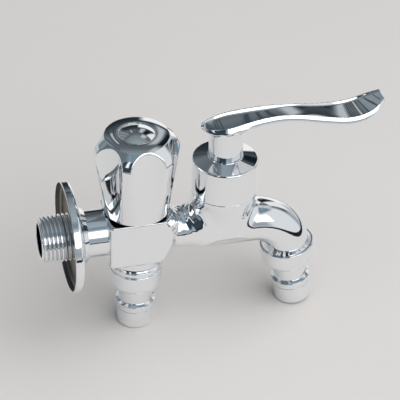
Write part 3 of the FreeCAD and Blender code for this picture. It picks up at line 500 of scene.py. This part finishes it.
def casting(p):
    """Field of the casting without its thread: the pipe, the milled block, the outlet's stem and
    collar, the spout and the boss, joined with the fillets of the mould. The last number of each join
    and meet is the size of its rounding. The ground spot is a product of two sine waves under a bell
    curve."""
    x, y, z = p[..., 0], p[..., 1], p[..., 2]
    from_axis = np.hypot(y, z)
    pipe = np.maximum(meet(from_axis - PIPE_RADIUS, PIPE_START - x, 0.2), x - knob_x)

    cone = (x - CONE_END) * math.sin(CONE_SLOPE) + (from_axis - CONE_SMALL) * math.cos(CONE_SLOPE)
    blank = meet(meet(from_axis - BLANK_RADIUS, cone, 1.0), x - CONE_END, 0.6)
    flats = meet(np.abs(y) - BLOCK_HALF, meet(z - BLOCK_TOP, BLOCK_BOTTOM - z, 0.5), 0.7)
    block = meet(meet(blank, flats, 0.7), BLOCK_LEFT - x, 1.7)

    from_knob = np.hypot(x - knob_x, y)
    stem = np.maximum(from_knob - STEM_RADIUS, np.maximum(z, drop_face_z - STEM_INSIDE - z))
    collar_sides = np.abs(z - (drop_face_z + COLLAR_UP)) - COLLAR_HALF
    outlet = join(stem, meet(from_knob - COLLAR_RADIUS, collar_sides, 0.35), 2.4)

    widening = BOSS_GAIN * np.clip((z - TUBE_Z) / BOSS_RISE, 0, None) ** BOSS_POWER
    boss_size = np.minimum(BOSS_LEAST + widening, boss_radius)
    boss = (np.hypot(x - lever_x, y) - boss_size) * BOSS_SLOPE
    boss = np.maximum(meet(boss, z - boss_top, 0.3), TUBE_Z - z)

    # The fillet under the boss is wider on the knob's side, and the neck's on the block wider on top
    boss_fillet = 4.5 + 5.5 * ease((lever_x - 5 - x) / 6)
    block_fillet = 1.4 + 3.0 * ease(z / 5)
    whole = join(join(spout_tube(x, y, z), boss, boss_fillet), block, block_fillet)
    ground = np.exp(-((x - GROUND_X) / GROUND_WIDE) ** 2 - ((z - GROUND_Z) / GROUND_TALL) ** 2)
    waves = np.sin(1.6 * x + 0.5 * y) * np.sin(1.5 * y - 1.5 * z + 0.6)
    whole = whole + GROUND_DEPTH * ground * waves
    whole = join(join(whole, pipe, 0.5), outlet, 0.5)
    bore = np.maximum(from_axis - BORE_RADIUS, x - BORE_END)
    return np.maximum(whole, -bore)


# The thread: depth, pitch, where it has run out, over what length it fades and how far the sheet goes
# on, the sheet's rows, the share of a flank that rises and how it curves, how far chamfer and mouth
# lie inside the crests, and the distance over which its slope is taken
THREAD_DEPTH, THREAD_PITCH = 1.162, 1.814
RUN_OUT, FADE_LENGTH, PAST_RUN_OUT = 4.2, 1.6, 1.9
THREAD_ROWS = 300
FLANK_SHARE, FLANK_CURVE = 0.72, 1.6
CHAMFER_INSIDE, MOUTH_INSIDE = 1.05, 1.15
THREAD_REACH = 0.01


def thread_radius(x, angle):
    """Radius of the thread. The tooth's height is 1 less a power of what the flank still lacks, and
    the flank follows x / pitch - angle / turn, up and down once a pitch."""
    phase = np.mod(x / THREAD_PITCH - angle / (2 * math.pi), 1.0)
    flank = np.abs(phase - 0.5) * 2
    tooth = 1 - (1 - np.minimum(flank / FLANK_SHARE, 1)) ** FLANK_CURVE
    fade = np.clip((RUN_OUT - x) / FADE_LENGTH, 0, 1)
    chamfer = thread_crest - CHAMFER_INSIDE + (x - inlet_tip)
    return np.minimum(thread_crest - THREAD_DEPTH * (1 - tooth) * fade, chamfer)


def inlet_thread():
    """Thread, mouth and bore of the inlet as one closed sheet. Its rows run from the thread's end to
    the mouth and back through the bore."""
    end = RUN_OUT + PAST_RUN_OUT
    angles = np.linspace(0, 2 * math.pi, AROUND, endpoint=False)
    x, angle = np.meshgrid(np.linspace(end, inlet_tip, THREAD_ROWS), angles, indexing="ij")
    radius = thread_radius(x, angle)

    def slope(dx, da):
        """Central difference of the radius along the axis or round it."""
        change = thread_radius(x + dx, angle + da) - thread_radius(x - dx, angle - da)
        return change / (2 * THREAD_REACH)

    along, turn = slope(THREAD_REACH, 0), slope(0, THREAD_REACH) / radius
    cos, sin = np.cos(angle), np.sin(angle)
    points = np.stack([x, radius * cos, radius * sin], axis=-1)
    normals = np.stack([-along, cos + turn * sin, sin - turn * cos], axis=-1)
    normals[0] = normals[1]

    ring, ring_normals = rounded([
        (thread_crest - MOUTH_INSIDE, inlet_tip, 0.15), (BORE_RADIUS, inlet_tip, 0.3),
        (BORE_RADIUS, end, 0.1), (PIPE_RADIUS - 0.1, end, 0.1)], closed=False)

    def spun(rows):
        """Rows of radius and place along X, at every angle."""
        level = np.broadcast_to(rows[:, 1:], (len(rows), AROUND))
        return np.stack([level, rows[:, :1] * np.cos(angles), rows[:, :1] * np.sin(angles)], axis=-1)

    points = np.concatenate([points, spun(ring)])
    normals = np.concatenate([normals, spun(-ring_normals)])
    index = np.arange(points.shape[0] * AROUND).reshape(points.shape[:2])
    quads, triangles = sheet_faces(index, True, True)
    add_piece("inlet_thread", points.reshape(-1, 3), normals.reshape(-1, 3), quads, triangles,
              "casting", ["main_body"], "chromed_brass")


def wall_flange():
    """Pressed rosette: a short band standing on the wall, a small shoulder, a slightly coned face and
    a collar. The first half of its outline is plated, the rest is the inside of the pressing, whose
    darker grey is partly painted shade."""
    high = node_box("wall_flange")[1]
    wider, play, sheet = 0.5, 0.22, 1.0
    rim_end, face_end, rim_end_inside = 3.7, 6.0, 2.8
    outer, bore, collar_end = high[2] + wider, thread_crest + play, high[0]
    plated = [(outer - sheet, 0, 0.2), (outer, 0, 0.3), (outer, rim_end, 1.5),
              (bore + 2.6, face_end, 1.2), (bore + sheet, collar_end, FINE_EDGE)]
    inside = [(bore, collar_end, FINE_EDGE), (bore, face_end - sheet, 0.3),
              (bore + 2.2, face_end - sheet, 0.8), (outer - sheet, rim_end_inside, 1.0)]
    plated_points = len(rounded(plated + inside[:1], closed=False)[0])
    turned("flange_rosette", rounded(plated + inside), (0, 0, 0), "flange", ["wall_flange"],
           "chromed_steel_sheet", along_x=True, dull=plated_points)


# The knob's six flutes: radius of their cutter, least radius left between them, rounding of the edge
# between flute and outside, and direction of the first one's middle
FLUTE_CUTTER, FLUTE_FLOOR, FLUTE_EDGE = 11.5, 14.2, 0.6
FIRST_FLUTE = math.radians(34)


def fluted_radius(radius, angle):
    """The smaller of the plain radius and the flute's wall. The wall stands at
    D cos t - sqrt(R^2 - D^2 sin^2 t) from the knob's axis, where R is the cutter's radius, D its
    distance and t the angle from the flute's middle."""
    distance = FLUTE_CUTTER + FLUTE_FLOOR
    t = np.mod(angle - FIRST_FLUTE + math.pi / 6, math.pi / 3) - math.pi / 6
    inside = np.maximum(FLUTE_CUTTER ** 2 - (distance * np.sin(t)) ** 2, 0)
    return join(radius, distance * np.cos(t) - np.sqrt(inside), FLUTE_EDGE)


def fluted(points, normals, angle):
    """Cuts the flutes into a turned surface. The normals follow from how the new radius changes with
    the old one and with the angle. What lies within 1 mm of the axis stays."""
    cos, sin = np.cos(angle), np.sin(angle)
    radius = np.hypot(points[..., 0], points[..., 1])

    def slope(dr, da):
        """Central difference of the cut radius along the old one or round the axis."""
        change = fluted_radius(radius + dr, angle + da) - fluted_radius(radius - dr, angle - da)
        return change / (2 * SLOPE_REACH)

    new = np.where(radius > 1, fluted_radius(radius, angle), radius)
    along, turn = slope(SLOPE_REACH, 0), slope(0, SLOPE_REACH) / np.maximum(new, 1)
    out = normals[..., 0] * cos + normals[..., 1] * sin
    normals = np.stack([out * (cos + turn * sin), out * (sin - turn * cos), normals[..., 2] * along],
                       axis=-1)
    return np.stack([new * cos, new * sin, points[..., 2]], axis=-1), normals


def bow(start, stop_r, slope_in, slope_out, steps):
    """Arc of a circle from a point of an outline in to a smaller radius. Its slope goes evenly from one
    angle to the other: the radius follows the sine of the slope and the height its cosine."""
    slope = np.linspace(slope_in, slope_out, steps)
    reach = math.sin(slope_out) - math.sin(slope_in)
    share = (np.sin(slope) - math.sin(slope_in)) / reach
    drop = (np.cos(slope_in) - np.cos(slope)) / reach
    points = np.stack([start[0] + (stop_r - start[0]) * share,
                       start[1] + (start[0] - stop_r) * drop], axis=1)
    return points, np.stack([np.sin(slope), np.cos(slope)], axis=1)


def knob():
    """The knob's outline runs from the spindle's socket, under the hub, round the hollow and up the
    outside: a cone, a round shoulder, a steep bevel, the crowned ring of the face and the pocket of
    the index cap. The apex is where the cone, which touches the shoulder's circle, would meet the
    bevel, which touches it at the crest's angle."""
    low, high = node_box("knob")
    cap_low, cap_high = node_box("knob_index_cap")
    hub, hub_foot, hollow = 6.5, 35.6, 12.3
    foot, face = 14.3, 13.85
    # The face's middle lies a little under the solid's top, and the rest is measured down from there
    top = high[2] - 0.4
    roof, face_edge = top - 6.07, top - 0.5
    shoulder, shoulder_r, crest = np.array([11.3, top - 8.07]), 7.5, math.radians(43)
    face_in, face_out, ring_rows = math.radians(4), math.radians(16), 24
    to_foot = np.array([foot, low[2]]) - shoulder
    lean = math.atan2(to_foot[1], to_foot[0]) + math.acos(shoulder_r / np.hypot(*to_foot))
    half = (crest - lean) / 2
    to_apex = np.array([math.cos(lean + half), math.sin(lean + half)])
    apex = shoulder + shoulder_r / math.cos(half) * to_apex
    pocket = cap_high[0] - knob_x + 0.12
    outer, outer_normals = rounded([
        (0, hub_foot, 0), (hub, hub_foot, 0.3), (hub, roof, 1.0), (hollow, roof, 1.5),
        (hollow, low[2], 0.3), (foot, low[2], 0.4), (*apex, shoulder_r - 0.1), (face, face_edge, 0.35),
        (face - 3.0, face_edge + 0.9, 0.1)], closed=False)
    ring, ring_normals = bow((face - 0.25, face_edge + 0.08), pocket + 0.2, face_out, face_in,
                             ring_rows)
    inner, inner_normals = rounded([
        (*ring[-1], 0), (pocket, ring[-1, 1] - 0.2, 0.1), (pocket, cap_low[2], 0.1),
        (0, cap_low[2], 0)], closed=False)
    outline = (np.concatenate([outer[:-2], ring, inner[1:]]),
               np.concatenate([outer_normals[:-2], ring_normals, inner_normals[1:]]))
    turned("fluted_knob", divided(outline, KNOB_STEP), (knob_x, 0, 0), "knob_turning", ["knob"],
           "chromed_plastic", closed=False, reshape=fluted, around=KNOB_AROUND)


def index_cap():
    """Polished button: a thin bead, a groove inside it and a crown that is a part of a sphere. The
    sphere's radius is (r^2 + h^2) / 2h for a crown of radius r and height h."""
    low, high = node_box("knob_index_cap")
    crown_over_bead, groove_depth, bead_width, groove_end, dome_rows = 1.72, 0.2, 0.48, 0.6, 28
    radius = high[0] - knob_x
    bead = high[2] - crown_over_bead
    groove = bead - groove_depth
    crown_r, crown = radius - groove_end, high[2] - groove
    sphere = (crown_r ** 2 + crown ** 2) / (2 * crown)
    outline, normals = rounded([
        (0, low[2], 0), (radius, low[2], 0.1), (radius, bead, 0.24), (radius - bead_width, bead, 0.22),
        (radius - bead_width - 0.04, groove, 0.08), (crown_r, groove, 0)], closed=False)
    slope = math.asin(crown_r / sphere) * (1 - np.linspace(0, 1, dome_rows))
    dome_normals = np.stack([np.sin(slope), np.cos(slope)], axis=1)
    dome = sphere * dome_normals + (0, high[2] - sphere)
    outline = np.concatenate([outline[:-1], dome]), np.concatenate([normals[:-1], dome_normals])
    turned("index_cap", outline, (knob_x, 0, 0), "knob_turning", ["knob_index_cap"], "chromed_cap",
           closed=False)


def bonnet_cup():
    """Cup turned down over the cartridge: a straight wall, a rounded shoulder and a roof that rises to
    the hub."""
    wall, sheet, bore, lip = 1.0, 1.2, 7.15, 7.9
    roof, rim = cup_high[2], cup_high[2] - 1.7
    inner = boss_radius - wall
    outline = rounded([
        (boss_radius, cup_low[2], FINE_EDGE), (boss_radius, rim, 1.0), (lip, roof, 0.3),
        (bore, roof, 0.1), (bore, roof - sheet, 0.1), (lip, roof - sheet, 0.3),
        (inner, rim - sheet, 0.6), (inner, cup_low[2], 0.1)])
    turned("bonnet_cup_shell", outline, (lever_x, 0, 0), "casting", ["bonnet_cup"], "chromed_brass")


def collar_nut():
    """Round nut on the cartridge's neck, with a thin flange over the edge of the cup's roof."""
    low, high = node_box("collar_nut")
    bore, body, flange_r = 6.2, 7.0, high[0] - lever_x
    flange = high[2] - 0.4
    outline = rounded([(bore, low[2], 0.1), (body, low[2], 0.1), (body, flange, 0.05),
                       (flange_r, flange, 0.1), (flange_r, high[2], 0.12), (bore, high[2], 0.1)])
    turned("collar_nut_ring", outline, (lever_x, 0, 0), "casting", ["collar_nut"], "chromed_brass")


# Stations of the lever: distance from its axis, half width, height of the rim, depth of the belly, and
# depth of the channel
LEVER = [
    (-11.4, 0.0, 48.9, 0.0, 0.0), (-10.2, 3.1, 49.0, 0.7, 0.5), (-8.0, 4.9, 49.3, 1.3, 0.9),
    (-4.5, 6.5, 49.7, 2.0, 1.3), (0.0, 7.3, 50.4, 2.6, 1.5), (6.0, 7.0, 51.4, 2.9, 1.65),
    (13.0, 6.3, 52.3, 3.2, 1.7), (21.0, 5.7, 52.6, 3.4, 1.5), (30.0, 5.6, 51.9, 3.6, 0.95),
    (39.0, 6.4, 50.5, 3.9, 1.0), (47.0, 7.4, 49.4, 4.1, 1.3), (54.0, 8.1, 49.1, 4.1, 1.4),
    (60.0, 8.1, 50.2, 3.6, 1.3), (65.0, 7.1, 52.3, 2.7, 1.1), (68.4, 5.0, 54.4, 1.6, 0.8),
    (70.6, 0.0, 56.0, 0.0, 0.0)]
LEVER_TIP = 69.3
HUB_RADIUS = 7.45
# Slope of the flanks, their height at most and as a share of the half width, the roundness of the
# belly, the width of a rim, and how much the channel's floor is bowed
FLANK = math.radians(57)
FLANK_HEIGHT, FLANK_PART = 1.8, 0.3
BELLY_POWER = 2.2
RIM_WIDTH = 0.2
FLOOR_BOW = 0.28


def lever_field(p):
    """Field of the lever, from its own axis: a long body with a round belly, two flanks that slope
    outwards, and a channel with a bowed floor between its rims, on a round hub. The belly is the
    curve where (out / w)^n + (below / deep)^n is 1. Width and belly follow splines through the squares
    of the stations, so that both ends close round; the tip is cut off square. The last number of each
    join and meet is the size of its rounding."""
    x, y, z = p[..., 0] - lever_x, p[..., 1], p[..., 2]
    at, half_width, rim, belly, sunk = (np.array(c) for c in zip(*LEVER))
    clipped = np.clip(x, at[0], at[-1])
    w = np.sqrt(np.maximum(curve_through(at, half_width ** 2, clipped), 0.01))
    deep = np.sqrt(np.maximum(curve_through(at, belly ** 2, clipped), 0.01))
    side = np.minimum(FLANK_HEIGHT, FLANK_PART * w)
    out, up = np.abs(y), z - curve_through(at, rim, clipped)
    below = np.maximum(-(up + side), 0)
    body = ((out / w) ** BELLY_POWER + (below / deep) ** BELLY_POWER) ** (1 / BELLY_POWER) - 1
    body = body * np.minimum(w, deep + 1.0)
    hub = meet(np.hypot(x, y) - HUB_RADIUS, np.maximum(lever_low[2] - z, up + side), 0.12)
    # The fillet on the hub is wide under the blade, less wide at the back and fine at the sides
    hub_fillet = 0.3 + 4.2 * ease((x - 1.5) / 6) + 2.0 * ease((-x - 4) / 3)
    body = join(body, hub, hub_fillet)
    flank = (out - w) * math.sin(FLANK) + (up + side) * math.cos(FLANK)
    body = meet(body, np.maximum(flank, up), 0.6)
    lip = w - side / math.tan(FLANK) - RIM_WIDTH
    wall = (out - lip) * math.sin(FLANK) - up * math.cos(FLANK)
    floor_up = -curve_through(at, sunk, clipped) + FLOOR_BOW * (out / w) ** 2
    channel = meet(wall, floor_up - up, 0.35)
    body = meet(body, -channel, 0.3)
    return meet(body, x - LEVER_TIP, 0.5)


# Corners of the three pieces of a nozzle: radius, height from the nut's top face, and rounding
NOZZLE = {
    "union_nut": [
        (10.0, 0, 0.15), (12.3, 0, 0.7), (12.3, -8.6, 3.4), (9.4, -10.4, 0.9), (8.05, -10.4, 0.12),
        (8.05, -8.7, 0.1), (10.0, -8.7, 0.1)],
    "hose_nipple": [
        (4.6, -7.2, 0.1), (10.0, -7.2, 0.1), (10.0, -8.65, 0.1), (7.9, -8.65, 0.1), (7.9, -10.4, 0.3),
        (7.35, -18.2, 0.9), (8.4, -19.05, 0.4), (8.9, -19.4, 0.35), (8.9, -20.0, 0.4),
        (8.5, -20.3, 0.25), (8.45, -22.72, 0.12), (6.35, -22.72, 0.05), (6.35, -30.3, 0.1),
        (4.6, -30.3, 0.1)],
    "nipple_sleeve": [
        (6.4, -22.82, 0.05), (8.45, -22.82, 0.12), (8.45, -31.35, 1.0), (6.4, -31.35, 0.3)],
}


def nozzle(side, at, lean):
    """Union nut, nipple and sleeve of one outlet, measured down from the nut's top face."""
    for name, corners in NOZZLE.items():
        node_name = side + "_" + name
        turned(node_name + "_shell", rounded(corners[::-1]), at, "casting", [node_name],
               "chromed_brass", lean=lean)


# Making the object
CASTING_HALF = 18.0
CASTING_REACH = 118
LEVER_MARGIN = 1.1
lever_low, lever_high = node_box("lever_handle")
skin("casting_skin", casting, (4.5, -CASTING_HALF, drop_face_z - 0.8),
     (CASTING_REACH, CASTING_HALF, boss_top + 1.0), CASTING_CELL,
     "casting", ["main_body"], "chromed_brass")
inlet_thread()
wall_flange()
knob()
index_cap()
bonnet_cup()
collar_nut()
skin("lever_blade", lever_field, lever_low - LEVER_MARGIN, lever_high + LEVER_MARGIN, LEVER_CELL,
     "lever_turning", ["lever_handle"], "chromed_zinc")
nozzle("drop", (knob_x, 0, drop_face_z), 0.0)
nozzle("spout", spout_face, spout_tilt)

# The studio. The camera stands where the tap's own measures put it in the picture
CAMERA_AT = Vector((-101.69, -558.13, 435.85)) * MM
CAMERA_TURN = Matrix(((0.9662, 0.1275, -0.2243),
                      (-0.2561, 0.5778, -0.7750),
                      (0.0308, 0.8062, 0.5908)))
scene = bpy.context.scene
scene.view_settings.view_transform = "Standard"
lens = bpy.data.cameras.new("camera")
lens.lens = 148.8
lens.sensor_width = 36.0
camera = bpy.data.objects.new("camera", lens)
scene.collection.objects.link(camera)
camera.location = CAMERA_AT
camera.rotation_mode = "QUATERNION"
camera.rotation_quaternion = CAMERA_TURN.to_quaternion()
scene.camera = camera

# The paper that the tap stands on. The wide floor is what the camera sees. In the chrome a sheet takes
# its place, whose front edges are near enough to show there as a thin dark line, and whose tone is a
# little brighter, a painted lighter copy of the paper, because a mirror of plate darkens what it shows.
# Its far corners lie outside every view. The strip along its edge is a dark painted line that only the
# chrome shows; it stands up a little, so that it still shows at a low angle.
PAPER, LIT_PAPER, PAINTED_DARK_LINE = "DCD6D2", "E4DFDB", "20262C"
PAPER_ROUGHNESS = 0.9
SHEET = [(-600, 900), (-600, -175), (60, -190), (150, -135), (205, -80), (262, 0), (300, 60),
         (297, 172), (150, 235), (150, 900)]
SHEET_UP = 0.02
SHEET_EDGE = 18.0
FLOOR_REACH = 4000.0


def stage_piece(name, points, faces, material):
    """Mesh of the stage from corners in millimetres."""
    mesh = bpy.data.meshes.new(name)
    mesh.from_pydata([(x * MM, y * MM, z * MM) for x, y, z in points], [], faces)
    mesh.materials.append(material)
    piece = bpy.data.objects.new(name, mesh)
    scene.collection.objects.link(piece)
    return piece


def show_in_chrome_only(piece):
    """Hides a piece from everything but reflections."""
    piece.visible_camera = False
    piece.visible_diffuse = False
    piece.visible_shadow = False


paper = new_material("seamless_paper", {"Base Color": linear(PAPER), "Roughness": PAPER_ROUGHNESS,
                                        "Specular IOR Level": 0.2})
# lit_paper is a painted lighter copy of the paper, which only the chrome sees
lit_paper = new_material("lit_paper", {"Base Color": linear(LIT_PAPER), "Roughness": PAPER_ROUGHNESS,
                                       "Specular IOR Level": 0.2})
# Dark material of the strip that only the chrome sees: a painted dark line in the reflections
table_edge = new_material("table_edge", {"Base Color": linear(PAINTED_DARK_LINE),
                                         "Roughness": PAPER_ROUGHNESS})
floor = stage_piece("floor", [(x * FLOOR_REACH, y * FLOOR_REACH, stand_z)
                              for x, y in ((-1, -1), (1, -1), (1, 1), (-1, 1))],
                    [(0, 1, 2, 3)], paper)
floor.visible_glossy = False
show_in_chrome_only(stage_piece("paper_sheet", [(x, y, stand_z + SHEET_UP) for x, y in SHEET],
                                [tuple(range(len(SHEET)))], lit_paper))
# The strip along the sheet's edge shows only in the chrome, as a painted dark line in the reflections
strip = [(x, y, stand_z + up) for x, y in SHEET[:-1] for up in (0.0, SHEET_EDGE)]
show_in_chrome_only(stage_piece("paper_sheet_edge", strip,
                                [(k, k + 2, k + 3, k + 1) for k in range(0, len(strip) - 2, 2)],
                                table_edge))

# The room as the chrome sees it: one ramp of tones from the floor to the ceiling towards the camera's
# side, one for the other side, each as elevation and tone, and patches of wall, window, shelf and
# ceiling. Angles in degrees, azimuth from +X towards +Y.
FRONT_TONES = [(-90, "D6D3D0"), (-24, "D9DADC"), (-12, "CCD0D3"), (-7, "A6B1B8"), (0, "9AA7AF"),
               (8, "A6B2B9"), (16, "C8D2D8"), (46, "C3CDD4"), (52, "8094A0"), (58, "7A909C"),
               (66, "A2AFB6"), (90, "A0ACB2")]
BACK_TONES = [(-90, "CFCCC8"), (-3, "D2D0CD"), (2, "5E686D"), (8, "222B2F"), (20, "2C363B"),
              (30, "50595E"), (38, "6E767B"), (46, "5C6469"), (54, "626A6F"), (62, "7E888E"),
              (90, "98A3A8")]
# Each patch: middle and half width in azimuth, middle and half height in elevation, softness, tone
PATCHES = [
    (-30, 34, 12, 36, 5, "E4E8EB"),
    (16, 14, 0, 19, 6, "A8AEB4"),
    (34, 16, 0, 15, 3, "C6CCD0"),
    (33, 13, 31, 17, 3, "F2F4F6"),
    (54, 5, 38, 10, 1.5, "161E24"),
    (48, 10, 58, 6, 4, "C8C8C4"),
    (66, 4, 35, 11, 2.5, "BCC3C8"),
    (60, 15, 1, 18, 1.5, "FFFFFF"),
    (76, 12, -22, 19, 1.5, "FFFFFF"),
    (120, 22, 0, 13, 4, "C4CFD0"),
    (122, 22, 33, 18, 6, "8A959A"),
    (165, 22, 30, 32, 8, "606C74"),
    (-165, 24, 30, 34, 8, "6A757C"),
    (-122, 21, 18, 34, 3, "34444E"),
    (-127, 4, 36, 20, 1.5, "FFFFFF"),
    (89.5, 1.6, 39, 7, 0.5, "B4BABC"),
    # Narrow dark seams between the boards of the ceiling
    (74.5, 0.65, 36, 9, 0.3, "3C474F"),
    (78, 0.65, 36, 11, 0.3, "3C474F"),
    (82, 0.65, 36, 11, 0.3, "3C474F"),
    (86.5, 0.65, 36, 11, 0.3, "3C474F"),
    (92.5, 0.65, 36, 11, 0.3, "3C474F"),
    (100, 0.8, 40, 18, 0.4, "38444C"),
    (109, 0.8, 40, 18, 0.4, "38444C"),
    (119, 0.9, 40, 18, 0.4, "465058"),
]
SIDES_MERGE = 0.35


def room_tones(tree):
    """Colour of the world for a direction: the two ramps of elevation, mixed by how far the direction
    points away from the camera's side, then each patch laid over them where both its angles are within
    its half sizes, with an edge of its softness."""
    def math_node(kind, *inputs):
        """A sum or function of numbers and sockets."""
        values = {k: v for k, v in enumerate(inputs) if isinstance(v, (int, float))}
        links = {k: v for k, v in enumerate(inputs) if not isinstance(v, (int, float))}
        return node(tree, "ShaderNodeMath", {"operation": kind, **values}, links).outputs[0]

    def smooth(value, start, stop):
        """0 at start, 1 at stop, and an even S between."""
        return node(tree, "ShaderNodeMapRange",
                    {"interpolation_type": "SMOOTHSTEP", "From Min": start, "From Max": stop},
                    {"Value": value}).outputs[0]

    def blend(share, below, above):
        """Mix of two colours. Sockets 0, 6 and 7 of the node take the share and the colours, and
        output 2 gives the mix."""
        made = node(tree, "ShaderNodeMix", {"data_type": "RGBA"})
        for socket, source in ((0, share), (6, below), (7, above)):
            if isinstance(source, list):
                made.inputs[socket].default_value = source
            else:
                tree.links.new(source, made.inputs[socket])
        return made.outputs[2]

    def ramp(height, tones):
        """Tones by elevation, where the height goes from 0 straight down to 1 straight up."""
        made = node(tree, "ShaderNodeValToRGB", {}, {"Fac": height})
        band = made.color_ramp
        for stop, (elevation, tone) in zip(band.elements, (tones[0], tones[-1])):
            stop.position, stop.color = (elevation + 90) / 180, linear(tone)
        for elevation, tone in tones[1:-1]:
            band.elements.new((elevation + 90) / 180).color = linear(tone)
        return made.outputs[0]

    split = node(tree, "ShaderNodeSeparateXYZ", {},
                 {"Vector": node(tree, "ShaderNodeTexCoord").outputs["Generated"]})
    x, y, z = (split.outputs[k] for k in range(3))
    azimuth = math_node("DEGREES", math_node("ARCTAN2", y, x))
    elevation = math_node("DEGREES", math_node("ARCSINE", z))
    height = math_node("DIVIDE", math_node("ADD", elevation, 90.0), 180.0)
    colour = blend(smooth(y, -SIDES_MERGE, SIDES_MERGE), ramp(height, FRONT_TONES),
                   ramp(height, BACK_TONES))
    for centre, half, level, half_height, soft, tone in PATCHES:
        turned_by = math_node("WRAP", math_node("SUBTRACT", azimuth, float(centre)), 180.0, -180.0)
        across = smooth(math_node("ABSOLUTE", turned_by), half + soft, half - soft)
        raised_by = math_node("SUBTRACT", elevation, float(level))
        up = smooth(math_node("ABSOLUTE", raised_by), half_height + soft, half_height - soft)
        colour = blend(math_node("MULTIPLY", across, up), colour, linear(tone))
    return colour


world = bpy.data.worlds.new("studio")
scene.world = world
world.use_nodes = True
background = world.node_tree.nodes["Background"]
world.node_tree.links.new(room_tones(world.node_tree), background.inputs["Color"])
background.inputs["Strength"].default_value = 1.0


def softbox(name, azimuth, elevation, distance, wide, tall, radiance, in_chrome):
    """Square-edged lamp that faces the tap, placed by its direction in degrees and its distance and
    size in metres. Its power is the radiance times its area times pi."""
    a, e = math.radians(azimuth), math.radians(elevation)
    way = Vector((math.cos(a) * math.cos(e), math.sin(a) * math.cos(e), math.sin(e)))
    lamp = bpy.data.lights.new(name, "AREA")
    lamp.shape = "RECTANGLE"
    lamp.size, lamp.size_y = wide, tall
    lamp.energy = radiance * wide * tall * math.pi
    made = bpy.data.objects.new(name, lamp)
    made.location = way * distance + Vector((lever_x * MM, 0, 0))
    made.rotation_mode = "QUATERNION"
    made.rotation_quaternion = way.to_track_quat("Z", "Y")
    made.visible_glossy = in_chrome
    scene.collection.objects.link(made)


softbox("window", azimuth=-74, elevation=28, distance=1.3, wide=1.0, tall=0.72,
        radiance=1.3, in_chrome=True)
softbox("overhead", azimuth=-40, elevation=66, distance=2.4, wide=3.4, tall=3.4,
        radiance=1.6, in_chrome=False)
